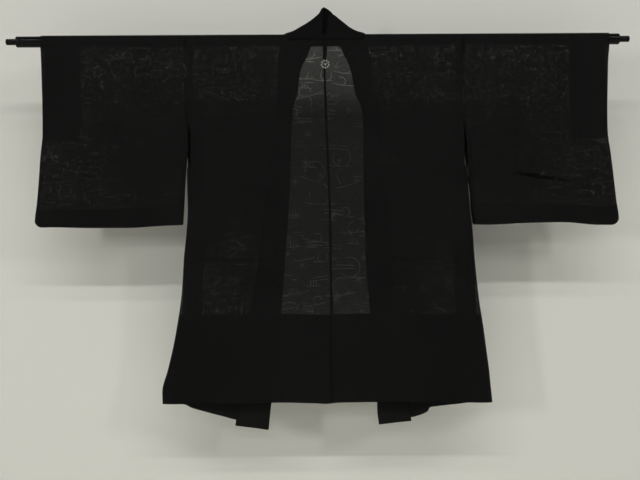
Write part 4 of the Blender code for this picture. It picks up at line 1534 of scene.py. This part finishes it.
def collar_guides(side, place):
    """The guides at any place; on the rod's far side the two kinds blend."""
    if place >= FRONT:
        return front_guides(side, place - FRONT)
    if place <= ON_ROD:
        return neck_guides(side, place)
    share = place - ON_ROD
    blend = [a.lerp(b, share) for a, b in zip(neck_guides(side, ON_ROD), front_guides(side, 0.0))]
    outward = OUTWARD * math.sin(math.pi * share)
    return [neck_seam_place(side, place), blend[1] + outward, blend[2] + outward, blend[3]]


print("collar guides at the nape:", [round(guide.z, 4) for guide in collar_guides("left", 0.0)], "m high")

# %% [markdown]
# ### The collar's folds
# Past the last guide the spare width bends round a small radius and lies back over
# the band; at the neck it is only a short lip.  Then the crown is given its two marks
# of wear: a sharp storage crease near the middle, and a lean to one side.  Both are
# added last, when the band's width has been measured out.

# %% Collar folds
COLLAR_WIDTH = 0.0755
COLLAR_TURN_RADIUS = 0.0017
COLLAR_LIP = 0.0015
TURN_COLUMNS = 16
CREASE_OFF_CENTRE = 0.0030
CREASE_WIDTH = 0.0034
CREASE_DEEP = 0.0080


def turned_back(fine, length, place):
    """Points of the spare width beyond a section's edge, and each one's way from it."""
    folding = float(smooth((place - 6.3) / 0.7))
    spare = mix(COLLAR_LIP, max(COLLAR_WIDTH - length, COLLAR_LIP), folding)
    turned = math.pi * folding * float(smooth((spare - COLLAR_LIP) / 0.007))
    bend = turned * COLLAR_TURN_RADIUS
    steps = np.linspace(0.0, 1.0, TURN_COLUMNS + 1)[1:]
    round_bend = bend * np.clip(steps / 0.4, 0.0, 1.0)
    past_bend = (spare - bend) * np.clip((steps - 0.4) / 0.6, 0.0, 1.0)
    reach = mix(spare * steps, round_bend + past_bend, float(smooth(turned / math.pi)))
    ahead = fine[-1] - fine[-4]
    ahead /= np.linalg.norm(ahead)
    outward = np.array([0.0, 1.0, 0.0]) - ahead * ahead[1]
    outward /= np.linalg.norm(outward)
    arc = np.minimum(reach, bend)
    angle = (arc / COLLAR_TURN_RADIUS)[:, None]
    straight = (reach - arc)[:, None]
    forward = COLLAR_TURN_RADIUS * np.sin(angle) + straight * math.cos(turned)
    lifted = COLLAR_TURN_RADIUS * (1.0 - np.cos(angle)) + straight * math.sin(turned)
    return fine[-1] + ahead * forward + outward * lifted, reach


def storage_crease(points):
    """How far the crown's crease pushes a section's points away from the viewer."""
    beside = (points[:, 0] - NECK_CENTRE_X - CREASE_OFF_CENTRE) / CREASE_WIDTH
    upright = smooth((points[:, 2] - 0.006) / 0.010) * smooth((0.074 - points[:, 2]) / 0.012)
    return CREASE_DEEP * np.exp(-beside ** 2) * upright


def collar_lean(x, height):
    """How far the crown has settled to one side, by place and height above the rod."""
    off = x - NECK_CENTRE_X
    left, right = along(COLLAR_LEAN, "left", height), along(COLLAR_LEAN, "right", height)
    share = np.clip(np.abs(off) / along(COLLAR_LEAN, "half_width", height), 0.0, 1.0)
    return mix(along(COLLAR_LEAN, "middle", height), np.where(off < 0.0, left, right), share)


print("collar", COLLAR_WIDTH * 1000, "mm wide, turned over on a radius of", COLLAR_TURN_RADIUS * 1000, "mm")

# %% [markdown]
# ### The collar's band
# The sections run from the left front's tip, round the nape, to the right front's
# tip.  Lengths along the band are counted from the nape, because the material's
# painted shade is deepest there.

# %% Collar
COLLAR_CLOTH = 0.0015
MAIN_COLUMNS = 22
FINE_STEPS = 40
NECK_STOPS = 56
NECK_STEP = 0.125


def evenly(points, count):
    """Points at equal lengths along a run of points."""
    run = np.concatenate(([0.0], np.cumsum(np.linalg.norm(np.diff(points, axis=0), axis=1))))
    even = np.linspace(0.0, run[-1], count)
    return np.stack([np.interp(even, run, points[:, i]) for i in range(3)], axis=1), run[-1]


def collar_section(side, place):
    """Points across the collar from its seam, and how far each lies across the band."""
    guides = collar_guides(side, place)
    fine = np.array([bezier(*guides, i / FINE_STEPS) for i in range(FINE_STEPS + 1)])
    points, length = evenly(fine, MAIN_COLUMNS + 1)
    beyond, reach = turned_back(fine, length, place)
    made = np.concatenate((points, beyond))
    across = np.concatenate((np.linspace(0.0, length, MAIN_COLUMNS + 1), length + reach))
    if place < 1.5:
        made[:, 1] += storage_crease(made)
    if place < FRONT:
        made[:, 0] += collar_lean(made[:, 0], made[:, 2])
    return made, across


def collar():
    """The whole band, from one front's tip round the nape to the other's."""
    stops = [NECK_STEP * i for i in range(NECK_STOPS + 1)]
    stops += [FRONT + i / BODY_ROWS for i in range(1, BODY_ROWS + 1)]
    run = [(side, stop) for side, part in (("left", stops[:0:-1]), ("right", stops)) for stop in part]
    sections = [collar_section(side, stop) for side, stop in run]
    points = np.array([section[0] for section in sections])
    across = np.array([section[1] for section in sections])
    steps = np.linalg.norm(np.diff(points[:, 0], axis=0), axis=1)
    down = np.concatenate(([0.0], np.cumsum(steps)))[:, None]
    from_nape = down - down[len(stops) - 1] + 0.0 * across
    grid = (points, places(across, from_nape))
    return grid_of_cloth("collar_band", [grid], collar_gauze, COLLAR_CLOTH)


COLLAR = collar()

# %% [markdown]
# ## Side gussets
# A haori has a narrow wedge let in at each side, between back and front, and it stands
# a little outside the back's seam.  It starts below the opening under the arm, where a
# bar tack holds it to the sleeve, so its top end is drawn out to the sleeve's edge for
# the tack's length.  Its hem is turned up like the rest.  It could be left off, as the
# back nearly hides it, but it stands out at both sides toward the hem.

# %% Gussets
GUSSET_TOP = 0.351
GUSSET_PLACE = 0.36
TACKS_END = 0.2905
TACKS = {"left": 0.0030, "right": 0.0200}


def gusset_fold(side, drop, seam_out):
    """How far out the gusset's middle fold stands, at the tacks as far as the sleeve."""
    fold_out = np.maximum(along(GUSSET_FOLD, side, drop) - 0.0006, seam_out + 0.0002)
    tacked = smooth((TACKS_END + TACKS[side] - drop) / 0.0015)
    sleeve_out = along(SLEEVE_INNER_BACK, side, drop) - CLEAR_OF_EDGE
    return mix(fold_out, np.maximum(fold_out, sleeve_out), tacked)


def gusset(side):
    """One wedge from the back's seam round its middle fold to the front's seam."""
    sign = SIDES[side]
    level, turn = hem_rows()
    keep = level[:, 0] >= GUSSET_TOP
    level, turn = level[keep], turn[keep]
    share = np.linspace(0.0, 1.0, 19)[None, :]
    side_out = along(BACK_SIDE, side, level * BACK_DROP)
    back_drop = level * along(BACK_HEM, side, side_out)
    front_drop = level * along(FRONT_HEM, side, side_out)
    drop = mix(back_drop, front_drop, share) - HEM_FOLD * level
    near = back_depth(sign * side_out, back_drop)
    far = front_depth(sign * side_out, front_drop)
    seam_out = side_out + SEAM_GAP + 0.0006
    out = mix(seam_out, gusset_fold(side, drop, seam_out), np.sin(math.pi * share) ** 0.8)
    edges_held = np.sin(math.pi * np.clip(share, 0.02, 0.98)) ** 0.3
    x = sign * (out - HEM_FOLD * (1.0 - np.cos(turn)) * edges_held)
    y = mix(near, far, share)
    z = -(drop + HEM_FOLD * np.sin(turn))
    u = np.cumsum(np.abs(np.diff(y, axis=1, prepend=y[:, :1])), axis=1) * 2.0
    v = np.where(turn < TURNED_UP, z, -1.7 - z)
    grid = (stack(x, y, z), places(GUSSET_PLACE + u + 0.0 * z, v))
    return grid_of_cloth("gusset_cloth_" + side, [grid], sheer_gauze)


GUSSET = {side: gusset(side) for side in SIDES}

# %% [markdown]
# ## Small sewn things
# The deep hems and the cuffs are held by blind stitches that show outside only as
# specks of thread, a few centimetres apart.  Bar tacks take the strain where sleeve
# and gusset meet.  Thread, dye and paint are each one plain colour with a fine
# uneven grain, because no such surface is quite even.

# %% Plain materials
GRAIN_RELIEF = 0.3
ROUGHNESS_SWING = 0.06


def plain_material(name, colour, roughness, grain_scale, depth):
    """A colour with a fine uneven grain, for thread, dye and paint."""
    make = Nodes(name)
    place = make.add("ShaderNodeTexCoord").outputs["Object"]
    noise = make.add("ShaderNodeTexNoise")
    make.join(place, noise.inputs["Vector"])
    noise.inputs["Scale"].default_value = grain_scale
    grain = noise.outputs[0]
    colours = make.tint(make.ramp(grain, 0.35, 0.65), colour, 0.85, 1.15)
    make.join(colours, make.shader.inputs["Base Color"])
    rough = make.ramp(grain, 0.3, 0.7, roughness - ROUGHNESS_SWING, roughness + ROUGHNESS_SWING)
    make.join(rough, make.shader.inputs["Roughness"])
    make.bump(grain, GRAIN_RELIEF, depth)
    return make.material


black_thread = plain_material("black_thread", (0.012, 0.012, 0.012), 0.55, 4000.0, 0.00005)
pale_dye = plain_material("pale_dye", (0.245, 0.245, 0.224), 0.80, 2500.0, 0.00003)
black_paint = plain_material("black_paint", (0.0018, 0.0020, 0.0020), 0.17, 900.0, 0.00002)
black_paint.node_tree.nodes["Principled BSDF"].inputs["Specular IOR Level"].default_value = 0.13
print("plain materials:", black_thread.name, pale_dye.name, black_paint.name)

# %% [markdown]
# ### Stitches
# A stitch is a short round thread that arches over the cloth and goes into it at
# both ends.  Each one is modelled, since a speck that stands off the gauze catches
# light.  The hems' stitches lie along the hem and the cuffs' run up and down.

# %% Stitches
STITCH_THREAD = 0.00014
TACK_THREAD = 0.00032
STITCH_STEPS = 5
STITCH_SIDES = 6
STITCH_ARCH = 0.00020
STITCH_SUNK = 0.00008


def stitches(name, rows, thread=STITCH_THREAD):
    """Small arched stitches: rows of (start, end, outward)."""
    sheet = bmesh.new()
    for start, end, outward in rows:
        start, end, outward = Vector(start), Vector(end), Vector(outward)
        beside = (end - start).cross(outward).normalized()
        rings = []
        for i in range(STITCH_STEPS + 1):
            t = i / STITCH_STEPS
            middle = start.lerp(end, t) + outward * (STITCH_ARCH * math.sin(math.pi * t) - STITCH_SUNK)
            rings.append([
                sheet.verts.new(middle + (outward * math.sin(a) + beside * math.cos(a)) * thread)
                for a in (math.tau * k / STITCH_SIDES for k in range(STITCH_SIDES))
            ])
        for a, b in zip(rings, rings[1:]):
            for k in range(STITCH_SIDES):
                after = (k + 1) % STITCH_SIDES
                sheet.faces.new((a[k], a[after], b[after], b[k]))
        sheet.faces.new(rings[0][::-1])
        sheet.faces.new(rings[-1])
    bmesh.ops.recalc_face_normals(sheet, faces=sheet.faces)
    print(name, len(rows), "stitches")
    return add_piece(name, mesh_from(sheet, name), black_thread)


# %% [markdown]
# Where the stitches go follows the turnings: just below the upper edge of a hem,
# just inside the inner edge of a cuff, and on the sleeve's edge beside the gusset.

# %% Stitched places
HALF_STITCH = 0.0006
HEM_START = {"back": 0.012, "front": 0.215}
HEM_STEP = 0.026
CUFF_STEP = 0.024
CUFF_STITCH_IN = 0.080
TACKS_START = 0.2908
TACK_STEP = 0.0009
TACK_REACH = (-0.0026, 0.0014)


def hem_stitches(side, face):
    """Blind stitches across one half of a hem, just below its turning's edge."""
    sign = SIDES[side]
    level = 1.0 - HEM_TURNED + 0.004
    rows = []
    for out in np.arange(HEM_START[face] + 0.018, BACK_SIDE[side][-1] - 0.012, HEM_STEP):
        x = sign * out
        if face == "back":
            drop = level * along(BACK_HEM, side, out)
            y = back_depth(x, drop) - GAUZE / 2
            outward = (0.0, -1.0, 0.0)
        else:
            drop = level * along(FRONT_HEM, side, out)
            y = front_depth(x, drop) + GAUZE / 2
            outward = (0.0, 1.0, 0.0)
        rows.append(((x - HALF_STITCH, y, -drop), (x + HALF_STITCH, y, -drop), outward))
    return stitches(face + "_hem_stitches_" + side, rows)


def cuff_stitches(side):
    """Blind stitches down both faces of a cuff."""
    sign = SIDES[side]
    rows = []
    for facing in (-1.0, 1.0):
        for drop in np.arange(0.030, CUFF_DEPTH, CUFF_STEP):
            out = along(SLEEVE_OUTER, side, drop) - CUFF_STITCH_IN
            y = float(sleeve_depth(side, out, drop, facing)) + facing * GAUZE / 2
            start = (sign * out, y, -drop + HALF_STITCH)
            end = (sign * out, y, -drop - HALF_STITCH)
            rows.append((start, end, (0.0, facing, 0.0)))
    return stitches("cuff_stitches_" + side, rows)


def bar_tack(side):
    """A close row of stitches that holds the sleeve's edge to the gusset."""
    sign = SIDES[side]
    rows = []
    for drop in np.arange(TACKS_START, TACKS_START + TACKS[side], TACK_STEP):
        out = along(SLEEVE_INNER_BACK, side, drop)
        y = float(sleeve_depth(side, out + 0.0012, drop, -1.0)) - GAUZE / 2
        start, end = [(sign * (out + reach), y, -drop) for reach in TACK_REACH]
        rows.append((start, end, (0.0, -1.0, 0.0)))
    return stitches("bar_tack_" + side, rows, TACK_THREAD)


for side in SIDES:
    bar_tack(side)
    hem_stitches(side, "back")
    hem_stitches(side, "front")
    cuff_stitches(side)

# %% [markdown]
# ### The mark at the nape
# A formal haori carries a small round mark on the centre seam.  This one is plain:
# nine dots in a ring, three small ones inside it and one in the middle.  Each dot is a
# flattened bead that is partly sunk into the gauze.  It could be dyed into the
# material, but beads keep clean round edges and can be seen from the side.

# %% Dot roundel
ROUNDEL_CENTRE = (0.0026, -0.0568)
ROUNDEL_RADIUS = 0.0099
MIDDLE_DOT = (0.0, 0.0, 0.0022)
DOT_RINGS = ((3, 0.40, 0.0009), (9, 0.82, 0.0020))
DOT_FLATTENED = 0.12
DOT_STANDS_OFF = 0.00005


def roundel():
    """All the dots as one piece; a ring is its count, share of the radius and size."""
    spots = [MIDDLE_DOT]
    for count, share, size in DOT_RINGS:
        for i in range(count):
            angle = math.tau * (i + 0.5) / count
            spots.append((share * math.sin(angle), share * math.cos(angle), size))
    sheet = bmesh.new()
    for across, up, size in spots:
        x = ROUNDEL_CENTRE[0] + across * ROUNDEL_RADIUS
        z = ROUNDEL_CENTRE[1] + up * ROUNDEL_RADIUS
        y = float(back_depth(x, -z)) - GAUZE / 2
        made = bmesh.ops.create_uvsphere(sheet, u_segments=16, v_segments=8, radius=size)
        bmesh.ops.scale(sheet, vec=(1.0, DOT_FLATTENED, 1.0), verts=made["verts"])
        bmesh.ops.translate(sheet, vec=(x, y - DOT_STANDS_OFF, z), verts=made["verts"])
    print("roundel of", len(spots), "dots")
    return add_piece("nape_roundel", mesh_from(sheet, "nape_roundel"), pale_dye)


roundel()

# %% [markdown]
# ## The rod
# A painted steel tube, turned down to a pin at each end where the stand takes it. A
# plain cylinder would do for the middle, but the ends show past the sleeves, so a
# profile is spun round the axis, with small chamfers that catch the light and a fine
# groove near the left end.  A sprung button there locks the tube's two lengths
# together.

# %% Rod
ROD_ENDS = (-0.702, 0.673)
PIN_ENDS = (-0.724, 0.695)
PIN_RADIUS = 0.007
ROD_STEPS = 72
SHARP_FROM = 35.0


def rod():
    """The tube and its two pins, spun from half a profile."""
    left, right = ROD_ENDS
    profile = [
        (PIN_ENDS[0], 0.0),
        (PIN_ENDS[0], PIN_RADIUS - 0.0008),
        (PIN_ENDS[0] + 0.0008, PIN_RADIUS),
        (left - 0.0006, PIN_RADIUS),
        (left, PIN_RADIUS + 0.0012),
        (left + 0.0005, ROD_RADIUS - 0.0022),
        (left + 0.0025, ROD_RADIUS),
        (left + 0.0240, ROD_RADIUS),
        (left + 0.0243, ROD_RADIUS - 0.0003),
        (left + 0.0250, ROD_RADIUS - 0.0003),
        (left + 0.0253, ROD_RADIUS),
        (right - 0.0025, ROD_RADIUS),
        (right - 0.0005, ROD_RADIUS - 0.0022),
        (right, PIN_RADIUS + 0.0012),
        (right + 0.0006, PIN_RADIUS),
        (PIN_ENDS[1] - 0.0008, PIN_RADIUS),
        (PIN_ENDS[1], PIN_RADIUS - 0.0008),
        (PIN_ENDS[1], 0.0),
    ]
    sheet = bmesh.new()
    line = [sheet.verts.new((x, 0.0, radius)) for x, radius in profile]
    for a, b in zip(line, line[1:]):
        sheet.edges.new((a, b))
    bmesh.ops.spin(sheet, geom=list(sheet.verts) + list(sheet.edges), axis=(1.0, 0.0, 0.0),
                   cent=(0.0, 0.0, 0.0), angle=math.tau, steps=ROD_STEPS, use_merge=True)
    bmesh.ops.remove_doubles(sheet, verts=sheet.verts, dist=0.00001)
    bmesh.ops.recalc_face_normals(sheet, faces=sheet.faces)
    piece = add_piece("turned_rod", mesh_from(sheet, "turned_rod"), black_paint)
    piece.data.set_sharp_from_angle(angle=math.radians(SHARP_FROM))
    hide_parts("rod")
    print("rod", round(PIN_ENDS[1] - PIN_ENDS[0], 3), "m long with its pins")
    return piece


rod()

# %% [markdown]
# The button is a flattened ball on the tube's near side, sunk so that only its low
# dome stands out.

# %% Rod button
BUTTON_RADIUS = 0.0030
BUTTON_FLATTENED = 0.55
BUTTON_PLACE = (-0.6915, -ROD_RADIUS + 0.0004, 0.0025)


def rod_button():
    sheet = bmesh.new()
    made = bmesh.ops.create_uvsphere(sheet, u_segments=24, v_segments=12, radius=BUTTON_RADIUS)
    bmesh.ops.scale(sheet, vec=(1.0, BUTTON_FLATTENED, 1.0), verts=made["verts"])
    bmesh.ops.translate(sheet, vec=BUTTON_PLACE, verts=made["verts"])
    return add_piece("rod_button", mesh_from(sheet, "rod_button"), black_paint)


rod_button()
print("button", 2000 * BUTTON_RADIUS, "mm across")

# %% [markdown]
# ## Finish
# The cloth pieces stand in for the measured nodes, which are hidden but kept.

# %% Finish
for side in SIDES:
    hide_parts("body_" + side)
    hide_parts("sleeve_" + side)
    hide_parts("gusset_" + side)
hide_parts("collar")
